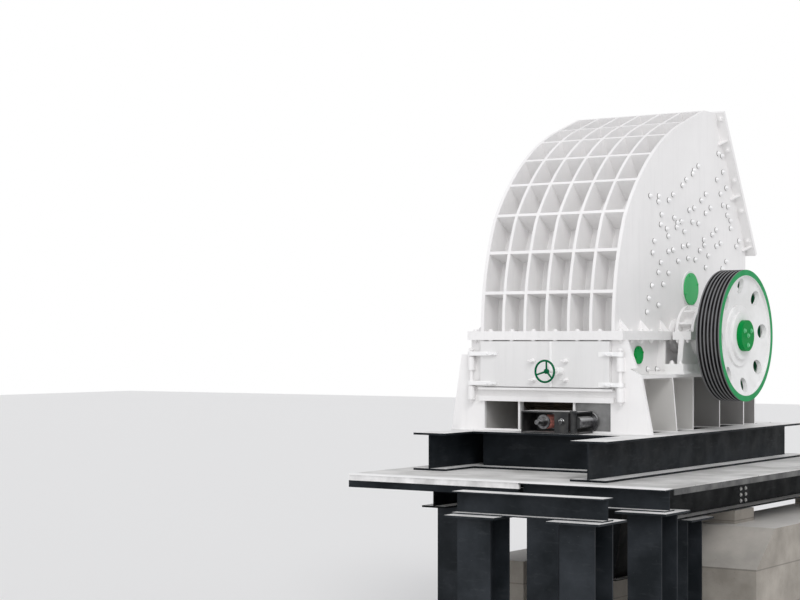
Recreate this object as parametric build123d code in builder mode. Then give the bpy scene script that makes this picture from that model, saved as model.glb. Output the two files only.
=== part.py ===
from build123d import *
import os
from math import cos, degrees, radians, sin, tan

# Heavy hammer crusher on its steel platform, in millimetres.
# X runs towards the drive side, Y from the doors to the feed inlet, Z up from the ground.
# The origin is on the ground, under the middle of the platform's plan.

os.makedirs("parts", exist_ok=True)

# Platform: plan, levels and rolled steel
plan_width = 3770
plan_length = 7300
deck_right_setback = 140
deck_height = 2200
deck_front_offset = 1470
deck_thickness = 12
deck_edge_height = 60
deck_edge_thickness = 8
front_edge_top_drop = 58
front_edge_height = 70
front_packing_setback = 10
front_packing_depth = 30
column_size = 350
column_web = 12
column_flange = 19
base_plate_size = 530
base_plate_thickness = 25
cap_plate_thickness = 20
cap_plate_overhang = 90
anchor_spacing = 430
anchor_hole_radius = 14
bent_beam_height = 206
bent_beam_width = 200
bent_beam_web = 8
bent_beam_flange = 12
front_bent_left = 217
front_bent_right = 1780
front_bent_y = -3385
second_bent_left = 160
front_columns_x = (500, 1565)
second_columns_x = (475, 1568)
third_columns_x = (-1480, 1160)
third_row_y = -655
girder_height = 400
girder_width = 300
girder_web = 12
girder_flange = 20
girder_rear_setback = 60
girder_front_reach = 525
joist_height = 200
joist_rows_y = (-560, -60, 2200, 3400)
hopper_slope = 16
hopper_side_gap = 40
hopper_length = 2000
hopper_drop = 1250
hopper_plate = 12
hopper_flange = 80
hopper_hole_radius = 11
pier_left_half_width = 310
pier_left_front = 2325
toe_front = 200
toe_height = 1095
pier_right_inner_x = 930
pier_right_front = 100
pier_right_drop = 138
batter_run = 480
batter_drop = 380
plinth_half_width = 190
plinth_length = 500
plinth_spots_y = (300, 2900)
pier_rear_y = 3625

# Base frame of wide-flange beams that carries the crusher
base_beam_height = 400
base_beam_width = 400
base_beam_web = 14
base_beam_flange = 22
right_beam_offset = 475
left_beam_offset = 85
right_beam_front = 1445
left_beam_front = 946
base_beam_rear = 3500
cross_beam_width = 400

# Crusher casing
casing_x = -535
front_y = -400
rib_pitch = 270
cell_count = 6
wall = 40
rib_thickness = 35
cell_depth = 300
rib_root = 10
shell_thickness = 30
lower_height = 1040
casing_length = 3400
flange_thickness = 48
flange_reach = 130
flange_front_reach = 70
flange_gusset_height = 125
flange_gusset_reach = 120
flange_gusset_thickness = 18
flange_gusset_spots = (380, 860, 1340)
shaft_opening_radius = 190

# Front curve of the hood: three tangent arcs and a straight run up to the top
lower_radius = 3050
lower_turn = 22.5
middle_radius = 770
middle_turn = 11
upper_radius = 2700
upper_turn = 37
hood_top_reach = 2233
first_level_rib = 424
level_rib_pitch = 457
level_rib_count = 7
inlet_top_reach = 2520
inlet_lean = 29.7
inlet_flange_width = 110
inlet_flange_thickness = 45
roof_drop = 12
roof_overlap = 20
roof_end_gap = 15

# Doors, their hinges and the handwheel
door_gap = 14
door_height = 494
door_top_gap = 14
door_thickness = 60
door_joint_gap = 8
door_joint_offset = 75
joint_strip_width = 28
joint_strip_thickness = 12
door_seat_gap = 2
hinge_offset = 110
hinge_stand = 52
hinge_pin_radius = 20
hinge_clearance = 0.05
hinge_boss_radius = 40
hinge_lug_height = 50
hinge_lug_length = 250
hinge_lug_width = 55
hinge_lug_drops = (127, 450)
hinge_barrel_height = 150
hinge_barrel_gap = 6
hinge_foot_half_width = 30
hinge_pin_rise = 15
handwheel_radius = 125
handwheel_tube = 9
handwheel_stand = 340
handwheel_offset = 210
handwheel_drop = 332
handwheel_hub_radius = 26
handwheel_hub_length = 30
spoke_width = 18
spoke_thickness = 12
spindle_seat_radius = 42
spindle_seat_length = 110
spindle_radius = 16
spindle_clearance = 0.05

# Front openings below the doors and the grate adjuster
door_opening_width = 1440
door_opening_height = 420
lower_opening_width = 1560
lower_opening_bottom = 20
lower_opening_height = 300
lower_post_offset = 340
lower_post_width = 24
bay_plate_setback = 25
ledge_drop = 520
ledge_reach = 60
ledge_thickness = 25
lower_ledge_drop = 95
lower_ledge_reach = 30
lower_ledge_height = 55

# Grate adjuster: a sprung tie rod and a tube, both level and square to the front wall
spring_offset = 120
tube_offset = 535
adjuster_rise = 120
bracket_plate = 15
bracket_height = 235
bracket_side_reach = 235
bracket_tube_reach = 40
bracket_front_gap = 340
bracket_back_gap = 20
cheek_left_offset = 290
cheek_right_offset = 459
post_offset = 500
post_setback = 40
post_radius = 38
post_rise = 10
spring_radius = 74
spring_fit = 0.3
spring_length = 225
adjuster_rod_radius = 25
washer_radius = 77
nut_radius = 50
nut_tip_radius = 32
nut_length = 70
rod_end_length = 75
tube_radius = 63
tube_disc_radius = 106
tube_disc_thickness = 25
tube_disc_gap = 5

# Bearing pedestals and bearings
shelf_drop = 408
shelf_thickness = 35
shelf_reach = 327
seat_reach = 430
seat_thickness = 30
seat_half_length = 640
shelf_length = 2940
right_foot_reach = 456
left_foot_reach = 400
panel_top_reach = 140
shoulder_reach = 257
shoulder_drop = 297
notch_reach = 181
notch_drop = 305
left_ledge_drop = 160
left_ledge_reach = 250
gusset_thickness = 25
gusset_spots = (745, 1262, 1961, 2631, 2955)
foot_taper_length = 1262
wall_stiffener_offset = 440
wall_stiffener_reach = 95
bearing_width = 220
bearing_radius = 340
bearing_core_radius = 235
bearing_bore_radius = 110
bearing_collar = 32
bearing_split_flange = 45
bearing_split_reach = 60
bearing_web = 60
bearing_web_foot_reach = 470
bearing_rib_thickness = 28
bearing_rib_angles = (25, 57, 90, 123, 155)
bearing_foot_half_length = 594
bearing_foot_height = 80
bearing_gap = 160

# Rotor, drive pulley and hammers
rotor_y = 1060
journal_radius = 109.95
shaft_radius = 150
shaft_shoulder_reach = 80
journal_end_reach = 40
disc_radius = 640
disc_thickness = 50
disc_count = 6
disc_side_gap = 25
hammer_rows = 4
hammer_pin_circle = 540
hammer_pin_radius = 45
rotor_fit = 0.05
hammer_tip_radius = 900
hammer_thickness = 130
hammer_width = 260
hammer_head_height = 190
hammer_arm_width = 130
hammer_eye_radius = 85
pulley_radius = 722
pulley_width = 270
pulley_inner_face = 610
pulley_rim = 65
pulley_web = 50
pulley_web_setback = 30
pulley_dish = 70
pulley_boss_radius = 335
pulley_boss_rise = 25
pulley_step_radius = 260
pulley_hub_setback = 45
pulley_hub_radius = 235
pulley_hub_back = 15
pulley_groove_count = 6
pulley_groove_depth = 22
groove_top_share = 0.64
groove_foot_share = 0.28
pulley_hole_radius = 82
pulley_hole_circle = 545
pulley_hole_count = 8
pulley_hole_turn = 95
pulley_cap_radius = 170
pulley_cap_thickness = 60
grate_gap = 25
grate_bar = 60
grate_bar_thickness = 50
grate_bar_setback = 5
grate_bar_count = 15
grate_half_angle = 66
grate_end_angle = 4
grate_rail_width = 60

# Round covers on the side walls
cover_radius = 182
cover_thickness = 14
cover_ring_radius = 205
cover_ring_thickness = 12
cover_back = 1836
cover_rise = 580
small_cover_radius = 97
small_cover_thickness = 20
small_cover_back = 536
small_cover_drop = 162

# Derived places
half_casing = rib_pitch * cell_count / 2 + wall / 2
inner_half = half_casing - wall
beam_top = deck_height + base_beam_height
joint_z = beam_top + lower_height
lower_top = joint_z - flange_thickness
upper_bottom = joint_z + flange_thickness
rear_y = front_y + casing_length
platform_front = -plan_length / 2
platform_rear = plan_length / 2
platform_left = -plan_width / 2
platform_right = plan_width / 2 - deck_right_setback
second_bent_right = platform_right
deck_front = platform_front + deck_front_offset
second_bent_y = deck_front + bent_beam_width / 2
side_right = casing_x + half_casing
side_left = casing_x - half_casing
sides = (("left", -1), ("right", 1))


def i_profile(height, width, web, flange):
    """Rolled H or I section, drawn about its centre in the open sketch."""
    Rectangle(width, height)
    hollow = (width - web) / 2
    with Locations(((web + hollow) / 2, 0), (-(web + hollow) / 2, 0)):
        Rectangle(hollow, height - 2 * flange, mode=Mode.SUBTRACT)


def block(x_low, x_high, y_low, y_high, z_low, z_high, mode=Mode.ADD):
    """Flat-sided plate or block between six faces."""
    middle = ((x_low + x_high) / 2, (y_low + y_high) / 2, (z_low + z_high) / 2)
    with Locations(middle):
        Box(x_high - x_low, y_high - y_low, z_high - z_low, mode=mode)


def hood_curve(depth):
    """Hood's front curve, a number of millimetres behind the ribs' edges, in Y and Z."""
    first = JernArc((front_y + depth, upper_bottom), (0, 1), lower_radius - depth, -lower_turn)
    second = JernArc(first @ 1, first % 1, middle_radius - depth, -middle_turn)
    third = JernArc(second @ 1, second % 1, upper_radius - depth, -upper_turn)
    return third


# Centres of the three arcs, one after the other, give the run of the curve by its length
first_centre = (front_y + lower_radius, upper_bottom)
turn_2 = radians(90 - lower_turn)
second_centre = (
    first_centre[0] - (lower_radius - middle_radius) * sin(turn_2),
    first_centre[1] + (lower_radius - middle_radius) * cos(turn_2),
)
turn_3 = radians(90 - lower_turn - middle_turn)
third_centre = (
    second_centre[0] + (upper_radius - middle_radius) * sin(turn_3),
    second_centre[1] - (upper_radius - middle_radius) * cos(turn_3),
)
top_slope = 90 - lower_turn - middle_turn - upper_turn
arcs_end = (
    third_centre[0] - upper_radius * sin(radians(top_slope)),
    third_centre[1] + upper_radius * cos(radians(top_slope)),
)
hood_top_y = front_y + hood_top_reach
straight_run = (hood_top_y - arcs_end[0]) / cos(radians(top_slope))
hood_top_z = arcs_end[1] + straight_run * sin(radians(top_slope))
inlet_top_y = front_y + inlet_top_reach
inlet_foot_z = hood_top_z - (rear_y - inlet_top_y) / tan(radians(inlet_lean))


def hood_point(run):
    """Point on the ribs' outer edge and slope there, for a run along the curve."""
    lower_run = radians(lower_turn) * lower_radius
    middle_run = radians(middle_turn) * middle_radius
    upper_run = radians(upper_turn) * upper_radius
    if run <= lower_run:
        centre = first_centre
        radius = lower_radius
        slope = radians(90) - run / lower_radius
    elif run <= lower_run + middle_run:
        centre = second_centre
        radius = middle_radius
        slope = radians(90 - lower_turn) - (run - lower_run) / middle_radius
    elif run <= lower_run + middle_run + upper_run:
        centre = third_centre
        radius = upper_radius
        slope = radians(90 - lower_turn - middle_turn) - (run - lower_run - middle_run) / upper_radius
    else:
        slope = radians(top_slope)
        past = run - lower_run - middle_run - upper_run
        return arcs_end[0] + past * cos(slope), arcs_end[1] + past * sin(slope), slope
    return centre[0] - radius * sin(slope), centre[1] + radius * cos(slope), slope


# Concrete piers under the main girders: the left one with a low toe, the right one with a
# sloping front and raised plinths for the girder
girder_x = third_columns_x
girder_top = deck_height - deck_thickness
girder_bottom = girder_top - girder_height
with BuildPart() as pier_left:
    pier_left_low = girder_x[0] - pier_left_half_width
    pier_left_high = girder_x[0] + pier_left_half_width
    block(pier_left_low, pier_left_high, pier_left_front, pier_rear_y, 0, girder_bottom)
    block(pier_left_low, pier_left_high, toe_front, pier_left_front, 0, toe_height)
pier_left.part.label = "pier_left"
export_step(pier_left.part, "parts/pier_left.step")

pier_right_top = girder_bottom - pier_right_drop
with BuildPart() as pier_right:
    with BuildSketch(Plane.YZ.offset(pier_right_inner_x)):
        with BuildLine():
            Polyline(
                (pier_right_front, pier_right_top),
                (pier_right_front - batter_run, pier_right_top - batter_drop),
                (pier_right_front - batter_run, 0),
                (pier_rear_y, 0),
                (pier_rear_y, pier_right_top),
                close=True,
            )
        make_face()
    extrude(amount=plan_width / 2 - pier_right_inner_x)
    for plinth_y in plinth_spots_y:
        block(
            girder_x[1] - plinth_half_width,
            girder_x[1] + plinth_half_width,
            plinth_y,
            plinth_y + plinth_length,
            pier_right_top,
            girder_bottom,
        )
pier_right.part.label = "pier_right"
export_step(pier_right.part, "parts/pier_right.step")

# Column rows, each column with its base plate, anchor holes and cap plate
bent_beam_bottom = deck_height - bent_beam_height
column_rows = (
    ("front_columns", front_columns_x, front_bent_y, bent_beam_bottom),
    ("second_columns", second_columns_x, second_bent_y, bent_beam_bottom - deck_thickness),
    ("third_columns", third_columns_x, third_row_y, girder_bottom),
)
for row_name, columns_x, row_y, seat_z in column_rows:
    with BuildPart() as columns:
        with BuildSketch():
            with Locations(*[(x, row_y) for x in columns_x]):
                Rectangle(base_plate_size, base_plate_size)
                with GridLocations(anchor_spacing, anchor_spacing, 2, 2):
                    Circle(anchor_hole_radius, mode=Mode.SUBTRACT)
        extrude(amount=base_plate_thickness)
        with BuildSketch(Plane.XY.offset(base_plate_thickness)):
            with Locations(*[(x, row_y) for x in columns_x]):
                i_profile(column_size, column_size, column_web, column_flange)
        extrude(amount=seat_z - base_plate_thickness - cap_plate_thickness)
        with BuildSketch(Plane.XY.offset(seat_z - cap_plate_thickness)):
            with Locations(*[(x, row_y) for x in columns_x]):
                Rectangle(column_size + 2 * cap_plate_overhang, column_size + 2 * cap_plate_overhang)
        extrude(amount=cap_plate_thickness)
    columns.part.label = row_name
    export_step(columns.part, "parts/" + row_name + ".step")

# Cross beams on the two outer column rows
bents = (
    ("front_bent_beam", front_bent_left, front_bent_right, front_bent_y, deck_height),
    ("second_bent_beam", second_bent_left, second_bent_right, second_bent_y, deck_height - deck_thickness),
)
for bent_name, bent_left, bent_right, bent_y, bent_top in bents:
    with BuildPart() as bent_beam:
        with BuildSketch(Plane.YZ.offset(bent_left)):
            with Locations((bent_y, bent_top - bent_beam_height / 2)):
                i_profile(bent_beam_height, bent_beam_width, bent_beam_web, bent_beam_flange)
        extrude(amount=bent_right - bent_left)
    bent_beam.part.label = bent_name
    export_step(bent_beam.part, "parts/" + bent_name + ".step")

# Main girders, from the third column row back over the piers
girder_front = third_row_y - girder_front_reach
girder_rear = platform_rear - girder_rear_setback
for number, girder_name in enumerate(("girder_left", "girder_right")):
    with BuildPart() as girder:
        with BuildSketch(Plane.XZ.offset(-girder_front)):
            with Locations((girder_x[number], girder_top - girder_height / 2)):
                i_profile(girder_height, girder_width, girder_web, girder_flange)
        extrude(amount=girder_front - girder_rear)
    girder.part.label = girder_name
    export_step(girder.part, "parts/" + girder_name + ".step")

# Floor joists between the girders' webs
with BuildPart() as joists:
    joist_left = girder_x[0] + girder_width / 2
    joist_right = girder_x[1] - girder_width / 2
    for joist_y in joist_rows_y:
        with BuildSketch(Plane.YZ.offset(joist_left)):
            with Locations((joist_y, girder_top - joist_height / 2)):
                i_profile(joist_height, bent_beam_width, bent_beam_web, bent_beam_flange)
        extrude(amount=joist_right - joist_left)
joists.part.label = "floor_joists"
export_step(joists.part, "parts/floor_joists.step")

# Deck plate with the discharge opening under the rotor, and its edge channel
hopper_width = 2 * (inner_half - hopper_side_gap)
hopper_front = rotor_y - hopper_length / 2
hopper_rear = rotor_y + hopper_length / 2
with BuildPart() as deck:
    block(platform_left, platform_right, deck_front, platform_rear, girder_top, deck_height)
    block(
        casing_x - hopper_width / 2,
        casing_x + hopper_width / 2,
        hopper_front,
        hopper_rear,
        girder_top,
        deck_height,
        mode=Mode.SUBTRACT,
    )
deck.part.label = "deck_plate"
export_step(deck.part, "parts/deck_plate.step")

with BuildPart() as deck_edge:
    edge_top = girder_top
    edge_low = girder_top - deck_edge_height
    bent_back = deck_front + bent_beam_width
    front_edge_top = girder_top - front_edge_top_drop
    front_edge_low = front_edge_top - front_edge_height
    packing_front = deck_front + front_packing_setback
    packing_back = packing_front + front_packing_depth
    edge = deck_edge_thickness
    block(platform_left, platform_left + edge, deck_front, platform_rear, edge_low, edge_top)
    block(platform_right - edge, platform_right, bent_back, platform_rear, edge_low, edge_top)
    block(platform_left, platform_right, platform_rear - edge, platform_rear, edge_low, edge_top)
    block(platform_left, second_bent_left, deck_front, deck_front + edge, front_edge_low, front_edge_top)
    block(platform_left, second_bent_left, deck_front, packing_back, front_edge_top - edge, front_edge_top)
    block(platform_left, second_bent_left, packing_front, packing_back, front_edge_top, edge_top)
deck_edge.part.label = "deck_edge"
export_step(deck_edge.part, "parts/deck_edge.step")

# Discharge hopper, a tapering shell hung under the deck opening
hopper_top = girder_top
hopper_taper = 2 * hopper_drop * tan(radians(hopper_slope))
with BuildPart() as hopper:
    with BuildSketch(Plane.XY.offset(hopper_top)):
        with Locations((casing_x, rotor_y)):
            Rectangle(hopper_width, hopper_length)
    with BuildSketch(Plane.XY.offset(hopper_top - hopper_drop)):
        with Locations((casing_x, rotor_y)):
            Rectangle(hopper_width - hopper_taper, hopper_length - hopper_taper)
    loft()
    with BuildSketch(Plane.XY.offset(hopper_top)):
        with Locations((casing_x, rotor_y)):
            Rectangle(hopper_width - 2 * hopper_plate, hopper_length - 2 * hopper_plate)
    with BuildSketch(Plane.XY.offset(hopper_top - hopper_drop)):
        with Locations((casing_x, rotor_y)):
            Rectangle(
                hopper_width - hopper_taper - 2 * hopper_plate,
                hopper_length - hopper_taper - 2 * hopper_plate,
            )
    loft(mode=Mode.SUBTRACT)
    with BuildSketch(Plane.XY.offset(hopper_top - hopper_drop)):
        with Locations((casing_x, rotor_y)):
            Rectangle(
                hopper_width - hopper_taper + 2 * hopper_flange,
                hopper_length - hopper_taper + 2 * hopper_flange,
            )
            Rectangle(
                hopper_width - hopper_taper - 2 * hopper_plate,
                hopper_length - hopper_taper - 2 * hopper_plate,
                mode=Mode.SUBTRACT,
            )
            with GridLocations(
                hopper_width - hopper_taper + hopper_flange,
                hopper_length - hopper_taper + hopper_flange,
                2,
                2,
            ):
                Circle(hopper_hole_radius, mode=Mode.SUBTRACT)
    extrude(amount=hopper_plate)
hopper.part.label = "discharge_hopper"
export_step(hopper.part, "parts/discharge_hopper.step")

# Base frame: a beam under each side of the casing and two cross beams between them
wall_middle = half_casing - wall / 2
base_beams = (
    ("base_beam_left", casing_x - wall_middle - left_beam_offset, front_y - left_beam_front),
    ("base_beam_right", casing_x + wall_middle + right_beam_offset, front_y - right_beam_front),
)
for beam_name, beam_x, beam_front in base_beams:
    with BuildPart() as base_beam:
        with BuildSketch(Plane.XZ.offset(-beam_front)):
            with Locations((beam_x, deck_height + base_beam_height / 2)):
                i_profile(base_beam_height, base_beam_width, base_beam_web, base_beam_flange)
        extrude(amount=beam_front - front_y - base_beam_rear)
    base_beam.part.label = beam_name
    export_step(base_beam.part, "parts/" + beam_name + ".step")

cross_left = base_beams[0][1] + base_beam_width / 2
cross_right = base_beams[1][1] - base_beam_width / 2
with BuildPart() as cross_beams:
    for cross_y in (front_y + wall - cross_beam_width / 2, rear_y - wall / 2):
        with BuildSketch(Plane.YZ.offset(cross_left)):
            with Locations((cross_y, deck_height + base_beam_height / 2)):
                i_profile(base_beam_height, cross_beam_width, base_beam_web, base_beam_flange)
        extrude(amount=cross_right - cross_left)
cross_beams.part.label = "base_cross_beams"
export_step(cross_beams.part, "parts/base_cross_beams.step")

# Lower casing: side walls with the half opening for the shaft
for side_name, side in sides:
    with BuildPart() as lower_side:
        with BuildSketch(Plane.YZ.offset(casing_x + side * (half_casing - wall / 2) - wall / 2)):
            with Locations(((front_y + rear_y) / 2, (beam_top + lower_top) / 2)):
                Rectangle(casing_length - 2 * wall, lower_top - beam_top)
            with Locations((rotor_y, joint_z)):
                Circle(shaft_opening_radius, mode=Mode.SUBTRACT)
        extrude(amount=wall)
    lower_side.part.label = "lower_side_" + side_name
    export_step(lower_side.part, "parts/lower_side_" + side_name + ".step")

# Lower front wall with the door opening, the opening under it, ledge and bar
ledge_z = lower_top - ledge_drop
with BuildPart() as lower_front:
    block(side_left, side_right, front_y, front_y + wall, beam_top, lower_top)
    door_centre_z = lower_top - door_top_gap - door_height / 2
    block(
        casing_x - door_opening_width / 2,
        casing_x + door_opening_width / 2,
        front_y,
        front_y + wall,
        door_centre_z - door_opening_height / 2,
        door_centre_z + door_opening_height / 2,
        mode=Mode.SUBTRACT,
    )
    block(
        casing_x - lower_opening_width / 2,
        casing_x + lower_opening_width / 2,
        front_y,
        front_y + wall,
        beam_top + lower_opening_bottom,
        beam_top + lower_opening_bottom + lower_opening_height,
        mode=Mode.SUBTRACT,
    )
    for post in (-1, 1):
        block(
            casing_x + post * lower_post_offset - lower_post_width / 2,
            casing_x + post * lower_post_offset + lower_post_width / 2,
            front_y,
            front_y + 2 * wall,
            beam_top + lower_opening_bottom,
            beam_top + lower_opening_bottom + lower_opening_height,
        )
    block(
        casing_x + lower_post_offset,
        casing_x + lower_opening_width / 2,
        front_y + bay_plate_setback,
        front_y + wall,
        beam_top + lower_opening_bottom,
        beam_top + lower_opening_bottom + lower_opening_height,
    )
    block(side_left, side_right, front_y - ledge_reach, front_y, ledge_z - ledge_thickness, ledge_z)
    lower_ledge_z = ledge_z - lower_ledge_drop
    block(
        side_left,
        side_right,
        front_y - lower_ledge_reach,
        front_y,
        lower_ledge_z - lower_ledge_height,
        lower_ledge_z,
    )
lower_front.part.label = "lower_front"
export_step(lower_front.part, "parts/lower_front.step")

with BuildPart() as lower_rear:
    block(side_left, side_right, rear_y - wall, rear_y, beam_top, lower_top)
lower_rear.part.label = "lower_rear"
export_step(lower_rear.part, "parts/lower_rear.step")

# Bearing pedestals: front foot panel, shelf and gussets under it, on both sides
shelf_top = lower_top - shelf_drop + shelf_thickness
foot_reaches = {"left": left_foot_reach, "right": right_foot_reach}
for side_name, side in sides:
    wall_face = casing_x + side * half_casing
    outer = wall_face + side * (shelf_reach - wall / 2)
    foot = wall_face + side * (foot_reaches[side_name] - wall / 2)
    with BuildPart() as pedestal:
        with BuildSketch(Plane.XZ.offset(-front_y)):
            with BuildLine():
                if side_name == "right":
                    shoulder = (
                        (wall_face + panel_top_reach, lower_top),
                        (wall_face + shoulder_reach, lower_top - shoulder_drop),
                        (wall_face + notch_reach, lower_top - notch_drop),
                        (outer, shelf_top),
                    )
                else:
                    ledge_level = lower_top - left_ledge_drop
                    shoulder = (
                        (wall_face - flange_gusset_reach, lower_top),
                        (wall_face - flange_gusset_reach, ledge_level),
                        (wall_face - left_ledge_reach, ledge_level),
                    )
                Polyline(
                    (wall_face, lower_top),
                    *shoulder,
                    (foot, beam_top),
                    (wall_face, beam_top),
                    close=True,
                )
            make_face()
        extrude(amount=-wall)
        with BuildSketch(Plane.XY.offset(shelf_top)):
            with Locations(((wall_face + outer) / 2, front_y + wall + shelf_length / 2)):
                Rectangle(abs(outer - wall_face), shelf_length)
        extrude(amount=-shelf_thickness)
        with BuildSketch(Plane.XY.offset(shelf_top)):
            with Locations((wall_face + side * (seat_reach - wall / 2) / 2, rotor_y)):
                Rectangle(seat_reach - wall / 2, 2 * seat_half_length)
        extrude(amount=seat_thickness)
        for spot in gusset_spots:
            taper = min(spot / foot_taper_length, 1)
            gusset_foot = foot + taper * (outer - foot)
            with BuildSketch(Plane.XZ.offset(-front_y - spot)):
                with BuildLine():
                    Polyline(
                        (wall_face, shelf_top - shelf_thickness),
                        (outer, shelf_top - shelf_thickness),
                        (gusset_foot, beam_top),
                        (wall_face, beam_top),
                        close=True,
                    )
                make_face()
            extrude(amount=-gusset_thickness)
        with BuildSketch(Plane.XY.offset(shelf_top)):
            stiffener_x = wall_face + side * wall_stiffener_reach / 2
            with Locations(
                (stiffener_x, rotor_y - wall_stiffener_offset),
                (stiffener_x, rotor_y + wall_stiffener_offset),
            ):
                Rectangle(wall_stiffener_reach, gusset_thickness)
        extrude(amount=lower_top - shelf_top)
    pedestal.part.label = "pedestal_" + side_name
    export_step(pedestal.part, "parts/pedestal_" + side_name + ".step")

# Discharge grate: a cradle of bars on two curved rails under the rotor
grate_inner = hammer_tip_radius + grate_gap
with BuildPart() as grate:
    for side_name, side in sides:
        rail_x = casing_x + side * (inner_half - grate_rail_width / 2) - grate_rail_width / 2
        with BuildSketch(Plane.YZ.offset(rail_x)):
            with BuildLine():
                CenterArc((rotor_y, joint_z), grate_inner, 270 - grate_half_angle, 2 * grate_half_angle)
                arc_start = 270 - grate_half_angle
                CenterArc((rotor_y, joint_z), grate_inner + grate_bar, arc_start, 2 * grate_half_angle)
                for end in (-1, 1):
                    end_angle = radians(270 + end * grate_half_angle)
                    Line(
                        (rotor_y + grate_inner * cos(end_angle), joint_z + grate_inner * sin(end_angle)),
                        (
                            rotor_y + (grate_inner + grate_bar) * cos(end_angle),
                            joint_z + (grate_inner + grate_bar) * sin(end_angle),
                        ),
                    )
            make_face()
        extrude(amount=grate_rail_width)
    bar_start = casing_x - inner_half + grate_rail_width / 2
    bar_pitch = 2 * (grate_half_angle - grate_end_angle) / (grate_bar_count - 1)
    with BuildSketch(Plane.YZ.offset(bar_start)):
        for number in range(grate_bar_count):
            bar_angle = grate_end_angle - grate_half_angle + number * bar_pitch
            with Locations(
                Location(
                    (
                        rotor_y + (grate_inner + grate_bar / 2) * sin(radians(bar_angle)),
                        joint_z - (grate_inner + grate_bar / 2) * cos(radians(bar_angle)),
                    ),
                    bar_angle,
                )
            ):
                Rectangle(grate_bar_thickness, grate_bar - 2 * grate_bar_setback)
    extrude(amount=2 * inner_half - grate_rail_width)
grate.part.label = "discharge_grate"
export_step(grate.part, "parts/discharge_grate.step")

# Grate adjuster in front of the lower opening: an open box with the tie rod and its conical nut,
# a round post, and a tube with a disc that runs back to the bay's plate
spring_x = casing_x + spring_offset
tube_x = casing_x + tube_offset
adjuster_z = beam_top + adjuster_rise
box_left = spring_x - bracket_side_reach
box_right = tube_x + bracket_tube_reach
box_front = front_y - bracket_front_gap
box_back = front_y - bracket_back_gap
box_top = beam_top + bracket_height
cheek_left = casing_x + cheek_left_offset
cheek_right = casing_x + cheek_right_offset
spring_back = box_back - bracket_plate
spring_front = spring_back - spring_length
nut_back = spring_front - bracket_plate
with BuildPart() as bracket:
    block(box_left, box_right, box_front, box_back, beam_top, beam_top + bracket_plate)
    block(box_left, box_right, box_front, box_back, box_top - bracket_plate, box_top)
    block(box_left, box_right, spring_back, box_back, beam_top, box_top)
    block(box_left, box_left + bracket_plate, box_front, box_back, beam_top, box_top)
    block(cheek_left, cheek_right, box_front, box_front + bracket_plate, beam_top, box_top)
    with BuildSketch(Plane.XY.offset(beam_top)):
        with Locations((casing_x + post_offset, box_front + post_setback)):
            Circle(post_radius)
    extrude(amount=bracket_height + post_rise)
    with BuildSketch(Plane.XZ.offset(-box_back)):
        with Locations((spring_x, adjuster_z)):
            Circle(adjuster_rod_radius)
    extrude(amount=box_back - nut_back + nut_length + rod_end_length)
    with BuildSketch(Plane.XZ.offset(-spring_front)):
        with Locations((spring_x, adjuster_z)):
            Circle(washer_radius)
    extrude(amount=bracket_plate)
    with BuildSketch(Plane.XZ.offset(-nut_back)):
        with Locations((spring_x, adjuster_z)):
            Circle(nut_radius)
    with BuildSketch(Plane.XZ.offset(-nut_back + nut_length)):
        with Locations((spring_x, adjuster_z)):
            Circle(nut_tip_radius)
    loft()
    with BuildSketch(Plane.XZ.offset(-front_y - bay_plate_setback)):
        with Locations((tube_x, adjuster_z)):
            Circle(tube_radius)
    extrude(amount=front_y + bay_plate_setback - box_front - post_setback)
    with BuildSketch(Plane.XZ.offset(-front_y + tube_disc_gap)):
        with Locations((tube_x, adjuster_z)):
            Circle(tube_disc_radius)
    extrude(amount=tube_disc_thickness)
bracket.part.label = "adjuster_bracket"
export_step(bracket.part, "parts/adjuster_bracket.step")

with BuildPart() as spring:
    with BuildSketch(Plane.XZ.offset(-spring_back)):
        with Locations((spring_x, adjuster_z)):
            Circle(spring_radius)
            Circle(adjuster_rod_radius + spring_fit, mode=Mode.SUBTRACT)
    extrude(amount=spring_length)
spring.part.label = "adjuster_spring"
export_step(spring.part, "parts/adjuster_spring.step")

# Hinge pins, one for each door, with a barrel on the front wall under each door lug
pin_y = front_y - hinge_stand
pin_top = lower_top - hinge_lug_drops[0] + hinge_pin_rise
barrel_tops = [lower_top - drop - hinge_lug_height - hinge_barrel_gap for drop in hinge_lug_drops]
pin_low = barrel_tops[1] - hinge_barrel_height
with BuildPart() as hinge_pins:
    for side_name, side in sides:
        pin_x = casing_x + side * (wall_middle + hinge_offset)
        with BuildSketch(Plane.XY.offset(pin_low)):
            with Locations((pin_x, pin_y)):
                Circle(hinge_pin_radius)
        extrude(amount=pin_top - pin_low)
        for barrel_top in barrel_tops:
            with BuildSketch(Plane.XY.offset(barrel_top)):
                with Locations((pin_x, pin_y)):
                    Circle(hinge_boss_radius)
                with Locations((pin_x, (pin_y + front_y) / 2)):
                    Rectangle(2 * hinge_foot_half_width, hinge_stand)
            extrude(amount=-hinge_barrel_height)
hinge_pins.part.label = "hinge_pins"
export_step(hinge_pins.part, "parts/hinge_pins.step")

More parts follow.
